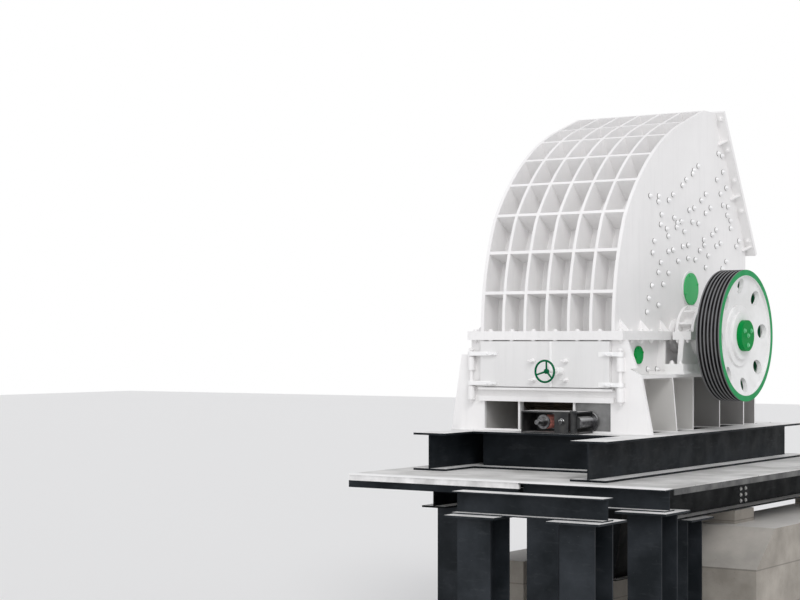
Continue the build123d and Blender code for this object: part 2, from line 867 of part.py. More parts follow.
# Door leaves, each with two hinge lugs; the right one has the joint strip and the spindle seat
door_face = front_y - door_seat_gap
door_front = door_face - door_thickness
door_top = lower_top - door_top_gap
door_low = door_top - door_height
joint_x = casing_x + door_joint_offset
handwheel_x = casing_x + handwheel_offset
handwheel_z = lower_top - handwheel_drop
for side_name, side in sides:
    pin_x = casing_x + side * (wall_middle + hinge_offset)
    door_outer = casing_x + side * (wall_middle - door_gap)
    door_inner = joint_x + side * door_joint_gap / 2
    with BuildPart() as door:
        block(
            min(door_inner, door_outer),
            max(door_inner, door_outer),
            door_front,
            door_face,
            door_low,
            door_top,
        )
        for drop in hinge_lug_drops:
            lug_x = pin_x - side * hinge_lug_length / 2
            with BuildSketch(Plane.XY.offset(lower_top - drop - hinge_lug_height)):
                with Locations((lug_x, door_front + hinge_lug_width / 2 - hinge_barrel_gap)):
                    Rectangle(hinge_lug_length, hinge_lug_width)
                with Locations((pin_x, pin_y)):
                    Circle(hinge_boss_radius)
                    Circle(hinge_pin_radius + hinge_clearance, mode=Mode.SUBTRACT)
            extrude(amount=hinge_lug_height)
        if side_name == "right":
            block(
                door_inner,
                door_inner + joint_strip_width,
                door_front - joint_strip_thickness,
                door_front,
                door_low,
                door_top,
            )
            with BuildSketch(Plane.XZ.offset(-door_front)):
                with Locations((handwheel_x, handwheel_z)):
                    Circle(spindle_seat_radius)
            extrude(amount=spindle_seat_length)
            with BuildSketch(Plane.XZ.offset(-door_front)):
                with Locations((handwheel_x, handwheel_z)):
                    Circle(spindle_radius + spindle_clearance)
            extrude(amount=spindle_seat_length, mode=Mode.SUBTRACT)
    door.part.label = "door_" + side_name
    export_step(door.part, "parts/door_" + side_name + ".step")

# Handwheel with three spokes on its long spindle, in front of the right door
wheel_y = door_front - handwheel_stand
with BuildPart() as handwheel:
    with BuildSketch(Plane.XY.offset(handwheel_z)):
        with Locations((handwheel_x + handwheel_radius - handwheel_tube, wheel_y)):
            Circle(handwheel_tube)
    revolve(axis=Axis((handwheel_x, wheel_y, handwheel_z), (0, 1, 0)), revolution_arc=360)
    with BuildSketch(Plane.XZ.offset(-wheel_y - handwheel_hub_length / 2)):
        with Locations((handwheel_x, handwheel_z)):
            Circle(handwheel_hub_radius)
    extrude(amount=handwheel_hub_length)
    with BuildSketch(Plane.XZ.offset(-wheel_y - spoke_thickness / 2)):
        with Locations((handwheel_x, handwheel_z)):
            with PolarLocations(handwheel_radius / 2, 3, start_angle=90):
                Rectangle(handwheel_radius - 2 * handwheel_tube, spoke_width)
    extrude(amount=spoke_thickness)
    with BuildSketch(Plane.XZ.offset(-wheel_y)):
        with Locations((handwheel_x, handwheel_z)):
            Circle(spindle_radius)
    extrude(amount=-handwheel_stand)
handwheel.part.label = "handwheel"
export_step(handwheel.part, "parts/handwheel.step")

# Split flanges of the two casing halves, with the half opening for the shaft
shell_back = cell_depth + shell_thickness
split_flanges = (("lower_flange", lower_top, wall), ("upper_flange", joint_z, shell_back))
for flange_name, flange_z, front_width in split_flanges:
    with BuildPart() as flange:
        block(
            side_left - flange_reach,
            side_right + flange_reach,
            front_y - flange_front_reach,
            rear_y + flange_front_reach,
            flange_z,
            flange_z + flange_thickness,
        )
        block(
            side_left + wall,
            side_right - wall,
            front_y + front_width,
            rear_y - wall,
            flange_z,
            flange_z + flange_thickness,
            mode=Mode.SUBTRACT,
        )
        with BuildSketch(Plane.YZ.offset(side_left - flange_reach)):
            with Locations((rotor_y, joint_z)):
                Circle(shaft_opening_radius)
        extrude(amount=2 * (half_casing + flange_reach), mode=Mode.SUBTRACT)
    flange.part.label = flange_name
    export_step(flange.part, "parts/" + flange_name + ".step")

# Hood side walls: the outline follows the ribs' edges, the flat top and the inlet
for side_name, side in sides:
    with BuildPart() as hood_side:
        with BuildSketch(Plane.YZ.offset(casing_x + side * (half_casing - wall / 2) - wall / 2)):
            with BuildLine():
                top_arc = hood_curve(0)
                Polyline(
                    top_arc @ 1,
                    (hood_top_y, hood_top_z),
                    (inlet_top_y, hood_top_z),
                    (rear_y, inlet_foot_z),
                    (rear_y, upper_bottom),
                    (front_y, upper_bottom),
                )
            make_face()
            with Locations((rotor_y, joint_z)):
                Circle(shaft_opening_radius, mode=Mode.SUBTRACT)
        extrude(amount=wall)
        gusset_foot = casing_x + side * half_casing
        for spot in flange_gusset_spots:
            for gusset_y in (rotor_y - spot, rotor_y + spot):
                with BuildSketch(Plane.XZ.offset(flange_gusset_thickness / 2 - gusset_y)):
                    with BuildLine():
                        Polyline(
                            (gusset_foot, upper_bottom),
                            (gusset_foot + side * flange_gusset_reach, upper_bottom),
                            (gusset_foot, upper_bottom + flange_gusset_height),
                            close=True,
                        )
                    make_face()
                extrude(amount=-flange_gusset_thickness)
    hood_side.part.label = "upper_side_" + side_name
    export_step(hood_side.part, "parts/upper_side_" + side_name + ".step")

# Hood shell between the side walls, with its lattice of upright and level ribs
end_y, end_z, end_slope = hood_point(
    radians(lower_turn) * lower_radius
    + radians(middle_turn) * middle_radius
    + radians(upper_turn) * upper_radius
    + straight_run
)


def behind(run, depth):
    """Point a depth behind the ribs' outer edge, square to the curve."""
    y, z, slope = hood_point(run)
    return y + depth * sin(slope), z - depth * cos(slope)


def hood_band(near, far):
    """Outline of the band between two depths behind the ribs' edges."""
    near_arc = hood_curve(near)
    far_arc = hood_curve(far)
    near_end = (end_y + near * sin(end_slope), end_z - near * cos(end_slope))
    far_end = (end_y + far * sin(end_slope), end_z - far * cos(end_slope))
    Polyline(near_arc @ 1, near_end, far_end, far_arc @ 1)
    Line((front_y + near, upper_bottom), (front_y + far, upper_bottom))


with BuildPart() as hood_shell:
    with BuildSketch(Plane.YZ.offset(side_left + wall)):
        with BuildLine():
            hood_band(cell_depth, shell_back)
        make_face()
    extrude(amount=2 * inner_half)
    for number in range(1, cell_count):
        rib_x = casing_x + (number - cell_count / 2) * rib_pitch - rib_thickness / 2
        with BuildSketch(Plane.YZ.offset(rib_x)):
            with BuildLine():
                hood_band(0, cell_depth + shell_thickness / 2)
            make_face()
        extrude(amount=rib_thickness)
    with BuildSketch(Plane.YZ.offset(side_left + wall)):
        for number in range(level_rib_count):
            run = first_level_rib + number * level_rib_pitch
            rib_y, rib_z = behind(run, (cell_depth + rib_root) / 2)
            rib_slope = hood_point(run)[2]
            with Locations(Location((rib_y, rib_z), degrees(rib_slope))):
                Rectangle(rib_thickness, cell_depth + rib_root)
        end_mid_y = end_y + shell_back / 2 * sin(end_slope) - rib_thickness / 2 * cos(end_slope)
        end_mid_z = end_z - shell_back / 2 * cos(end_slope) - rib_thickness / 2 * sin(end_slope)
        with Locations(Location((end_mid_y, end_mid_z), degrees(end_slope))):
            Rectangle(rib_thickness, shell_back)
    extrude(amount=2 * inner_half)
    block(
        side_left + wall,
        side_right - wall,
        hood_top_y - roof_overlap,
        inlet_top_y - roof_end_gap,
        hood_top_z - shell_thickness - roof_drop,
        hood_top_z - roof_drop,
    )
hood_shell.part.label = "hood_shell"
export_step(hood_shell.part, "parts/hood_shell.step")

# Hood rear wall below the inlet
with BuildPart() as upper_rear:
    block(side_left + wall, side_right - wall, rear_y - wall, rear_y, upper_bottom, inlet_foot_z)
upper_rear.part.label = "upper_rear"
export_step(upper_rear.part, "parts/upper_rear.step")

# Feed inlet flange, a frame on the slanted mouth of the hood
mouth_length = (rear_y - inlet_top_y) / sin(radians(inlet_lean))
mouth_centre = ((inlet_top_y + rear_y) / 2, (hood_top_z + inlet_foot_z) / 2)
mouth_plane = Plane(
    origin=(casing_x, mouth_centre[0], mouth_centre[1]),
    x_dir=(1, 0, 0),
    z_dir=(0, cos(radians(inlet_lean)), sin(radians(inlet_lean))),
)
with BuildPart() as inlet:
    with BuildSketch(mouth_plane):
        with Locations((0, inlet_flange_width / 2)):
            Rectangle(2 * (half_casing + inlet_flange_width), mouth_length + inlet_flange_width)
        Rectangle(2 * inner_half, mouth_length - 2 * shell_thickness, mode=Mode.SUBTRACT)
    extrude(amount=inlet_flange_thickness)
inlet.part.label = "inlet_flange"
export_step(inlet.part, "parts/inlet_flange.step")

# Round covers on the side walls: the hammer pin hole and the small cap below the flange
with BuildPart() as covers:
    for side_name, side in sides:
        cover_x = casing_x + side * half_casing
        with BuildSketch(Plane.YZ.offset(cover_x)):
            with Locations((front_y + cover_back, lower_top + cover_rise)):
                Circle(cover_ring_radius)
        extrude(amount=side * cover_ring_thickness)
        with BuildSketch(Plane.YZ.offset(cover_x + side * cover_ring_thickness)):
            with Locations((front_y + cover_back, lower_top + cover_rise)):
                Circle(cover_radius)
        extrude(amount=side * cover_thickness)
        with BuildSketch(Plane.YZ.offset(cover_x)):
            with Locations((front_y + small_cover_back, lower_top - small_cover_drop)):
                Circle(small_cover_radius)
        extrude(amount=side * small_cover_thickness)
covers.part.label = "round_covers"
export_step(covers.part, "parts/round_covers.step")

# Split bearing housings: a base with a foot and a sloping web, and a cap whose two collars are
# tied by ribs over the round core
for side_name, side in sides:
    bearing_start = casing_x + side * (half_casing + bearing_gap)
    foot_z = shelf_top + seat_thickness
    split_half = bearing_radius + bearing_split_reach
    with BuildPart() as bearing_base:
        with BuildSketch(Plane.YZ.offset(bearing_start)):
            with Locations((rotor_y, foot_z + bearing_foot_height / 2)):
                Rectangle(2 * bearing_foot_half_length, bearing_foot_height)
            with Locations((rotor_y, joint_z)):
                Circle(bearing_core_radius)
            with Locations((rotor_y, joint_z + bearing_core_radius)):
                Rectangle(3 * bearing_core_radius, 2 * bearing_core_radius, mode=Mode.SUBTRACT)
            with Locations((rotor_y, joint_z - bearing_split_flange / 2)):
                Rectangle(2 * split_half, bearing_split_flange)
        extrude(amount=side * bearing_width)
        with BuildSketch(Plane.YZ.offset(bearing_start + side * (bearing_width - bearing_web) / 2)):
            with BuildLine():
                Polyline(
                    (rotor_y - split_half, joint_z),
                    (rotor_y - bearing_web_foot_reach, foot_z),
                    (rotor_y + bearing_web_foot_reach, foot_z),
                    (rotor_y + split_half, joint_z),
                    close=True,
                )
            make_face()
        extrude(amount=side * bearing_web)
        with BuildSketch(Plane.YZ.offset(bearing_start)):
            with Locations((rotor_y, joint_z)):
                Circle(bearing_bore_radius)
        extrude(amount=side * bearing_width, mode=Mode.SUBTRACT)
    bearing_base.part.label = "bearing_base_" + side_name
    export_step(bearing_base.part, "parts/bearing_base_" + side_name + ".step")

    with BuildPart() as bearing_cap:
        with BuildSketch(Plane.YZ.offset(bearing_start)):
            with Locations((rotor_y, joint_z)):
                Circle(bearing_core_radius)
            rib_middle = (bearing_core_radius + bearing_radius - bearing_collar) / 2
            for angle in bearing_rib_angles:
                rib_place = (
                    rotor_y + rib_middle * cos(radians(angle)),
                    joint_z + rib_middle * sin(radians(angle)),
                )
                with Locations(Location(rib_place, angle)):
                    Rectangle(bearing_radius - bearing_core_radius, bearing_rib_thickness)
            with Locations((rotor_y, joint_z + bearing_split_flange / 2)):
                Rectangle(2 * split_half, bearing_split_flange)
            with Locations((rotor_y, joint_z - bearing_core_radius)):
                Rectangle(3 * bearing_core_radius, 2 * bearing_core_radius, mode=Mode.SUBTRACT)
        extrude(amount=side * bearing_width)
        for collar_start in (0, bearing_width - bearing_collar):
            with BuildSketch(Plane.YZ.offset(bearing_start + side * collar_start)):
                with Locations((rotor_y, joint_z)):
                    Circle(bearing_radius)
                with Locations((rotor_y, joint_z - bearing_radius)):
                    Rectangle(3 * bearing_radius, 2 * bearing_radius, mode=Mode.SUBTRACT)
            extrude(amount=side * bearing_collar)
        with BuildSketch(Plane.YZ.offset(bearing_start)):
            with Locations((rotor_y, joint_z)):
                Circle(bearing_bore_radius)
        extrude(amount=side * bearing_width, mode=Mode.SUBTRACT)
    bearing_cap.part.label = "bearing_cap_" + side_name
    export_step(bearing_cap.part, "parts/bearing_cap_" + side_name + ".step")

# Rotor shaft: stepped, from the left bearing through to the drive pulley
journal_left = side_left - bearing_gap - bearing_width - journal_end_reach
pulley_in = casing_x + wall_middle + pulley_inner_face
pulley_out = pulley_in + pulley_width
hub_face = pulley_out - pulley_hub_setback
with BuildPart() as shaft:
    with BuildSketch(Plane.YZ.offset(journal_left)):
        with Locations((rotor_y, joint_z)):
            Circle(journal_radius)
    extrude(amount=hub_face - journal_left)
    with BuildSketch(Plane.YZ.offset(side_left - shaft_shoulder_reach)):
        with Locations((rotor_y, joint_z)):
            Circle(shaft_radius)
    extrude(amount=2 * (half_casing + shaft_shoulder_reach))
shaft.part.label = "rotor_shaft"
export_step(shaft.part, "parts/rotor_shaft.step")

# Rotor discs on the shaft, drilled for the hammer pins
rotor_half = inner_half - disc_side_gap
disc_pitch = (2 * rotor_half - disc_thickness) / (disc_count - 1)
with BuildPart() as discs:
    for number in range(disc_count):
        with BuildSketch(Plane.YZ.offset(casing_x - rotor_half + number * disc_pitch)):
            with Locations((rotor_y, joint_z)):
                Circle(disc_radius)
                Circle(shaft_radius + rotor_fit, mode=Mode.SUBTRACT)
                with PolarLocations(hammer_pin_circle, hammer_rows):
                    Circle(hammer_pin_radius + rotor_fit, mode=Mode.SUBTRACT)
        extrude(amount=disc_thickness)
discs.part.label = "rotor_discs"
export_step(discs.part, "parts/rotor_discs.step")

with BuildPart() as pins:
    with BuildSketch(Plane.YZ.offset(casing_x - rotor_half)):
        with Locations((rotor_y, joint_z)):
            with PolarLocations(hammer_pin_circle, hammer_rows):
                Circle(hammer_pin_radius)
    extrude(amount=2 * rotor_half)
pins.part.label = "hammer_pins"
export_step(pins.part, "parts/hammer_pins.step")

# Hammers: heavy heads on the pins, between the discs
with BuildPart() as hammers:
    for number in range(disc_count - 1):
        gap_middle = casing_x - rotor_half + disc_thickness / 2 + (number + 0.5) * disc_pitch
        with BuildSketch(Plane.YZ.offset(gap_middle - hammer_thickness / 2)):
            with Locations((rotor_y, joint_z)):
                with PolarLocations(hammer_pin_circle, hammer_rows):
                    Circle(hammer_eye_radius)
                head_foot = hammer_tip_radius - hammer_head_height
                with PolarLocations((hammer_pin_circle + head_foot) / 2, hammer_rows):
                    Rectangle(head_foot - hammer_pin_circle, hammer_arm_width)
                with PolarLocations(hammer_tip_radius - hammer_head_height / 2, hammer_rows):
                    Rectangle(hammer_head_height, hammer_width)
                with PolarLocations(hammer_pin_circle, hammer_rows):
                    Circle(hammer_pin_radius + rotor_fit, mode=Mode.SUBTRACT)
        extrude(amount=hammer_thickness)
hammers.part.label = "hammers"
export_step(hammers.part, "parts/hammers.step")

# Drive pulley: grooved rim, a dished web with round holes and a stepped hub, turned as one profile
groove_pitch = pulley_width / (pulley_groove_count + 1 - groove_top_share)
groove_top_half = groove_pitch * groove_top_share / 2
groove_foot_half = groove_pitch * groove_foot_share / 2
rim_inner = pulley_radius - pulley_rim
web_face = pulley_out - pulley_web_setback
boss_foot_face = web_face - pulley_dish
boss_face = boss_foot_face + pulley_boss_rise
bore = journal_radius + rotor_fit
with BuildPart() as pulley:
    with BuildSketch(Plane.XY.offset(joint_z)):
        with BuildLine():
            rim_points = [(pulley_in, rotor_y + rim_inner), (pulley_in, rotor_y + pulley_radius)]
            groove_foot = rotor_y + pulley_radius - pulley_groove_depth
            for number in range(pulley_groove_count):
                groove_x = pulley_in + (number + 1 - groove_top_share / 2) * groove_pitch
                rim_points.append((groove_x - groove_top_half, rotor_y + pulley_radius))
                rim_points.append((groove_x - groove_foot_half, groove_foot))
                rim_points.append((groove_x + groove_foot_half, groove_foot))
                rim_points.append((groove_x + groove_top_half, rotor_y + pulley_radius))
            rim_points.append((pulley_out, rotor_y + pulley_radius))
            rim_points.append((pulley_out, rotor_y + rim_inner))
            Polyline(*rim_points, close=True)
        make_face()
        with BuildLine():
            Polyline(
                (pulley_in + pulley_hub_back, rotor_y + bore),
                (pulley_in + pulley_hub_back, rotor_y + pulley_hub_radius),
                (boss_foot_face - pulley_web, rotor_y + pulley_hub_radius),
                (boss_foot_face - pulley_web, rotor_y + pulley_boss_radius),
                (web_face - pulley_web, rotor_y + rim_inner),
                (web_face, rotor_y + rim_inner),
                (boss_foot_face, rotor_y + pulley_boss_radius),
                (boss_face, rotor_y + pulley_boss_radius),
                (boss_face, rotor_y + pulley_step_radius),
                (hub_face, rotor_y + pulley_step_radius),
                (hub_face, rotor_y + bore),
                close=True,
            )
        make_face()
    revolve(axis=Axis((0, rotor_y, joint_z), (1, 0, 0)), revolution_arc=360)
    with BuildSketch(Plane.YZ.offset(pulley_in)):
        with Locations((rotor_y, joint_z)):
            with PolarLocations(pulley_hole_circle, pulley_hole_count, start_angle=pulley_hole_turn):
                Circle(pulley_hole_radius)
    extrude(amount=pulley_width, mode=Mode.SUBTRACT)
pulley.part.label = "pulley"
export_step(pulley.part, "parts/pulley.step")

with BuildPart() as pulley_cap:
    with BuildSketch(Plane.YZ.offset(hub_face)):
        with Locations((rotor_y, joint_z)):
            Circle(pulley_cap_radius)
    extrude(amount=pulley_cap_thickness)
pulley_cap.part.label = "pulley_cap"
export_step(pulley_cap.part, "parts/pulley_cap.step")
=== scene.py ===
import bpy
import math
from mathutils import Matrix, Vector


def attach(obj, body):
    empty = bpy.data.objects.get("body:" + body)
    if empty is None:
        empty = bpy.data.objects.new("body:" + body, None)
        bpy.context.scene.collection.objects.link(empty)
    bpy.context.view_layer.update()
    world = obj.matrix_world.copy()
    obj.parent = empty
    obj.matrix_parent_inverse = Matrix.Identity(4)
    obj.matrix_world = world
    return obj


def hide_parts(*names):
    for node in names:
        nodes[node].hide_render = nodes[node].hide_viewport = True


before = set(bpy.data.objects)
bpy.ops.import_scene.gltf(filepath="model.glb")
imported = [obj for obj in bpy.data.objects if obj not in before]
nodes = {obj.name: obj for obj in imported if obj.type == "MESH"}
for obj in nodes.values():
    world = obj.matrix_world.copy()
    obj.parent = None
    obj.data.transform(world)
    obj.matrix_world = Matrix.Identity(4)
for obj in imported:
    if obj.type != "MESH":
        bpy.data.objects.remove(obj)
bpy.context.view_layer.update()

# Camera, at the height of the casing's split flange and 34 degrees to the right of the doors' axis.
# The horizon lies a little below the middle of the picture, which the lens shift gives.
camera_place = (9.371, -17.865, 3.592)
camera_turn = 34.08
lens_length = 83.27
horizon_shift = 0.05
camera_data = bpy.data.cameras.new("camera")
camera_data.lens = lens_length
camera_data.sensor_width = 36
camera_data.shift_y = horizon_shift
camera_data.clip_end = 300
camera = bpy.data.objects.new("camera", camera_data)
camera.location = camera_place
camera.rotation_euler = (math.radians(90), 0, math.radians(camera_turn))
bpy.context.scene.collection.objects.link(camera)
bpy.context.scene.camera = camera
bpy.context.scene.view_settings.view_transform = "Standard"

# Light of an overcast day: a bright plain sky, a broad soft sun from high in front of the right side
# and weak fills from the left and from low in front. The camera and glossy surfaces see a white sky.
sky_strength = 0.62
world = bpy.data.worlds.new("sky")
world.use_nodes = True
sky_nodes = world.node_tree.nodes
sky_links = world.node_tree.links
sky_light = sky_nodes["Background"]
sky_light.inputs["Color"].default_value = (0.965, 0.965, 1.0, 1)
sky_light.inputs["Strength"].default_value = sky_strength
sky_seen = sky_nodes.new("ShaderNodeBackground")
sky_seen.inputs["Color"].default_value = (1, 1, 1, 1)
sky_seen.inputs["Strength"].default_value = 1.0
ray_kind = sky_nodes.new("ShaderNodeLightPath")
camera_or_glossy = sky_nodes.new("ShaderNodeMath")
camera_or_glossy.operation = "MAXIMUM"
or_through = sky_nodes.new("ShaderNodeMath")
or_through.operation = "MAXIMUM"
sky_mix = sky_nodes.new("ShaderNodeMixShader")
sky_links.new(ray_kind.outputs["Is Camera Ray"], camera_or_glossy.inputs[0])
sky_links.new(ray_kind.outputs["Is Glossy Ray"], camera_or_glossy.inputs[1])
sky_links.new(camera_or_glossy.outputs[0], or_through.inputs[0])
sky_links.new(ray_kind.outputs["Is Transmission Ray"], or_through.inputs[1])
sky_links.new(or_through.outputs[0], sky_mix.inputs["Fac"])
sky_links.new(sky_light.outputs["Background"], sky_mix.inputs[1])
sky_links.new(sky_seen.outputs["Background"], sky_mix.inputs[2])
sky_links.new(sky_mix.outputs["Shader"], sky_nodes["World Output"].inputs["Surface"])
bpy.context.scene.world = world


def sun(name, strength, softness, tilt, heading):
    """Lamp far away, tilted from straight down and turned about the vertical."""
    lamp = bpy.data.lights.new(name, "SUN")
    lamp.energy = strength
    lamp.angle = math.radians(softness)
    lamp_object = bpy.data.objects.new(name, lamp)
    lamp_object.rotation_euler = (math.radians(tilt), 0, math.radians(heading))
    bpy.context.scene.collection.objects.link(lamp_object)


sun("sun_right", 0.95, 24, 50, 46)
sun("fill_left", 0.20, 60, 60, -35)
sun("fill_low", 0.62, 50, 84, 26)

# Plain pale floor, wide enough to meet the white sky, with the machine's own shadow on it.
floor_size = 160
bpy.ops.mesh.primitive_plane_add(size=floor_size, location=(0, 0, -0.002))
floor = bpy.context.object
floor.name = "floor"
floor_material = bpy.data.materials.new("pale_floor")
floor_material.use_nodes = True
floor_shader = floor_material.node_tree.nodes["Principled BSDF"]
floor_shader.inputs["Base Color"].default_value = (0.86, 0.86, 0.85, 1)
floor_shader.inputs["Roughness"].default_value = 0.9
floor.data.materials.append(floor_material)

# White machine enamel of the casing: sprayed over welded plate, slightly dusty, with a soft sheen.
# Dust settles on level ledges, and rain draws faint streaks down the walls.


def new_material(name, colour, roughness, metallic=0.0):
    """Material with its shader, its node tree and the object's own coordinates."""
    material = bpy.data.materials.new(name)
    material.use_nodes = True
    tree = material.node_tree
    shader = tree.nodes["Principled BSDF"]
    shader.inputs["Base Color"].default_value = (*colour, 1)
    shader.inputs["Roughness"].default_value = roughness
    shader.inputs["Metallic"].default_value = metallic
    place = tree.nodes.new("ShaderNodeTexCoord")
    return material, tree, shader, place.outputs["Object"]


def stretched(tree, coordinates, scale):
    """Coordinates scaled by a different amount along each axis."""
    mapping = tree.nodes.new("ShaderNodeMapping")
    mapping.inputs["Scale"].default_value = scale
    tree.links.new(coordinates, mapping.inputs["Vector"])
    return mapping.outputs["Vector"]


def noise(tree, coordinates, scale, detail=4.0, roughness=0.55):
    """Grey noise at a scale in features per metre."""
    node = tree.nodes.new("ShaderNodeTexNoise")
    node.inputs["Scale"].default_value = scale
    node.inputs["Detail"].default_value = detail
    node.inputs["Roughness"].default_value = roughness
    tree.links.new(coordinates, node.inputs["Vector"])
    return node.outputs["Fac"]


def levels(tree, value, low, high, to_low=0.0, to_high=1.0):
    """Value spread from one range to another, clamped."""
    node = tree.nodes.new("ShaderNodeMapRange")
    node.inputs["From Min"].default_value = low
    node.inputs["From Max"].default_value = high
    node.inputs["To Min"].default_value = to_low
    node.inputs["To Max"].default_value = to_high
    tree.links.new(value, node.inputs["Value"])
    return node.outputs["Result"]


def times(tree, first, second):
    """Product of two grey values, or of one and a number."""
    node = tree.nodes.new("ShaderNodeMath")
    node.operation = "MULTIPLY"
    tree.links.new(first, node.inputs[0])
    if isinstance(second, float):
        node.inputs[1].default_value = second
    else:
        tree.links.new(second, node.inputs[1])
    return node.outputs[0]


def coloured(tree, amount, below, above):
    """Colour between two, by a grey amount. Each is a colour or another node's output."""
    node = tree.nodes.new("ShaderNodeMix")
    node.data_type = "RGBA"
    tree.links.new(amount, node.inputs["Factor"])
    colour_sockets = [s for s in node.inputs if s.type == "RGBA"]
    for socket, colour in zip(colour_sockets, (below, above)):
        if isinstance(colour, tuple):
            socket.default_value = (*colour, 1)
        else:
            tree.links.new(colour, socket)
    return [s for s in node.outputs if s.type == "RGBA"][0]


def axis_value(tree, vector, axis):
    """One of a vector's three parts."""
    split = tree.nodes.new("ShaderNodeSeparateXYZ")
    tree.links.new(vector, split.inputs["Vector"])
    return split.outputs[axis]


def facing(tree, axis, low, high, to_low=0.0, to_high=1.0):
    """Grey value from the part of the surface's normal along an axis."""
    geometry = tree.nodes.new("ShaderNodeNewGeometry")
    return levels(tree, axis_value(tree, geometry.outputs["Normal"], axis), low, high, to_low, to_high)


def facing_up(tree, low, high):
    """Grey value that is 1 where the surface lies level and faces the sky."""
    return facing(tree, "Z", low, high)


def bumped(tree, shader, height, strength, distance):
    """Height as a bump on the shader."""
    node = tree.nodes.new("ShaderNodeBump")
    node.inputs["Strength"].default_value = strength
    node.inputs["Distance"].default_value = distance
    tree.links.new(height, node.inputs["Height"])
    tree.links.new(node.outputs["Normal"], shader.inputs["Normal"])


def coat(tree, shader, colour):
    """Makes a node's output the shader's base colour."""
    tree.links.new(colour, shader.inputs["Base Color"])


def enamel(name, colour, dust=(0.66, 0.65, 0.62), shine=0.5):
    """Sprayed machine enamel with faint clouds, rain streaks and dust on level faces."""
    material, tree, shader, spot = new_material(name, colour, 0.38)
    shader.inputs["Specular IOR Level"].default_value = shine
    clouds = levels(tree, noise(tree, spot, 1.3), 0.35, 0.7, 0.0, 0.30)
    streak_spot = stretched(tree, spot, (9.0, 9.0, 0.7))
    streaks = levels(tree, noise(tree, streak_spot, 1.6, 5.0, 0.6), 0.52, 0.8, 0.0, 0.30)
    grime = tuple(0.80 * part for part in colour)
    paint = coloured(tree, clouds, colour, grime)
    paint = coloured(tree, streaks, paint, grime)
    specks = levels(tree, noise(tree, spot, 38.0, 4.0, 0.7), 0.70, 0.80, 0.0, 0.35)
    paint = coloured(tree, specks, paint, dust)
    patches = levels(tree, noise(tree, spot, 7.0), 0.3, 0.7, 0.05, 0.30)
    settled = times(tree, facing_up(tree, 0.75, 0.98), patches)
    coat(tree, shader, coloured(tree, settled, paint, dust))
    tree.links.new(levels(tree, noise(tree, spot, 5.0), 0.3, 0.7, 0.30, 0.50), shader.inputs["Roughness"])
    bumped(tree, shader, noise(tree, spot, 160.0, 2.0), 0.12, 0.0015)
    return material


def opened(material):
    """Node tree, shader, object coordinates and paint of a finished material, to paint over."""
    tree = material.node_tree
    shader = tree.nodes["Principled BSDF"]
    spot = tree.nodes["Texture Coordinate"].outputs["Object"]
    return tree, shader, spot, shader.inputs["Base Color"].links[0].from_socket


def painted(piece, material):
    """Gives a piece one material."""
    piece.data.materials.clear()
    piece.data.materials.append(material)


def paint_nodes(material, *names):
    """Gives CAD nodes a material."""
    for name in names:
        painted(nodes[name], material)


casing_colour = (0.905, 0.895, 0.89)
casing_white = enamel("casing_white", casing_colour)
paint_nodes(casing_white, "lower_front", "lower_rear", "lower_flange", "upper_flange", "hinge_pins")
paint_nodes(casing_white, "upper_side_left", "upper_side_right", "hood_shell", "upper_rear", "inlet_flange")
paint_nodes(casing_white, "bearing_base_left", "bearing_base_right", "bearing_cap_left", "bearing_cap_right")

# Bearing pedestals in the same enamel. Under the shelves the gussets' front faces are grey with stone
# dust and painted shade of the bays, darker towards the rear where the pulley shades them.
shelf_plane = 3.20
foot_panel_back = -0.20
pale_bay_end = 0.9
dark_bay_start = 1.5
pedestal_white = enamel("pedestal_white", casing_colour)
tree, shader, spot, pedestal_clean = opened(pedestal_white)
pedestal_along = axis_value(tree, spot, "Y")
pedestal_height = axis_value(tree, spot, "Z")
behind_panel = levels(tree, pedestal_along, foot_panel_back, foot_panel_back + 0.01)
below_shelf = levels(tree, pedestal_height, shelf_plane - 0.05, shelf_plane, 1.0, 0.0)
in_bays = times(tree, times(tree, facing(tree, "Y", -0.9, -0.8, 1.0, 0.0), behind_panel), below_shelf)
dust_and_shade_depth = levels(tree, pedestal_along, pale_bay_end, dark_bay_start)
gusset_dust_and_shade = coloured(tree, dust_and_shade_depth, (0.60, 0.59, 0.57), (0.26, 0.255, 0.25))
coat(tree, shader, coloured(tree, in_bays, pedestal_clean, gusset_dust_and_shade))
paint_nodes(pedestal_white, "pedestal_left", "pedestal_right")

# Side walls of the lower casing, in the same enamel. Under the bearing shelves they are greyer with
# stone dust and splashes that no rain washes off, and with painted shade of the shelves above.
side_plate_white = enamel("side_plate_white", casing_colour)
tree, shader, spot, plate_paint = opened(side_plate_white)
plate_clouds = levels(tree, noise(tree, spot, 3.0, 6.0), 0.3, 0.7, 0.60, 1.0)
plate_height = axis_value(tree, spot, "Z")
under_shelf = levels(tree, plate_height, shelf_plane - 0.05, shelf_plane, 1.0, 0.0)
plate_dirt_and_shade = times(tree, under_shelf, plate_clouds)
coat(tree, shader, coloured(tree, plate_dirt_and_shade, plate_paint, (0.50, 0.485, 0.46)))
paint_nodes(side_plate_white, "lower_side_left", "lower_side_right")

# The two door leaves, in the same enamel gone a little grey with handling. What stands proud of
# them, the joint strip and the hinge lugs, is painted paler, a painted highlight of their lit faces.
proud_plane = -0.465
door_white = enamel("door_white", (0.82, 0.815, 0.81))
tree, shader, spot, leaf_paint = opened(door_white)
door_depth = axis_value(tree, spot, "Y")
door_proud_highlight = levels(tree, door_depth, proud_plane - 0.001, proud_plane, 1.0, 0.0)
coat(tree, shader, coloured(tree, door_proud_highlight, leaf_paint, (0.93, 0.925, 0.92)))
paint_nodes(door_white, "door_left", "door_right")

# Black structural paint on the rolled beams and columns: brushed on, with stone dust on every top face.
# The webs keep faint wipe marks and specks of dust.


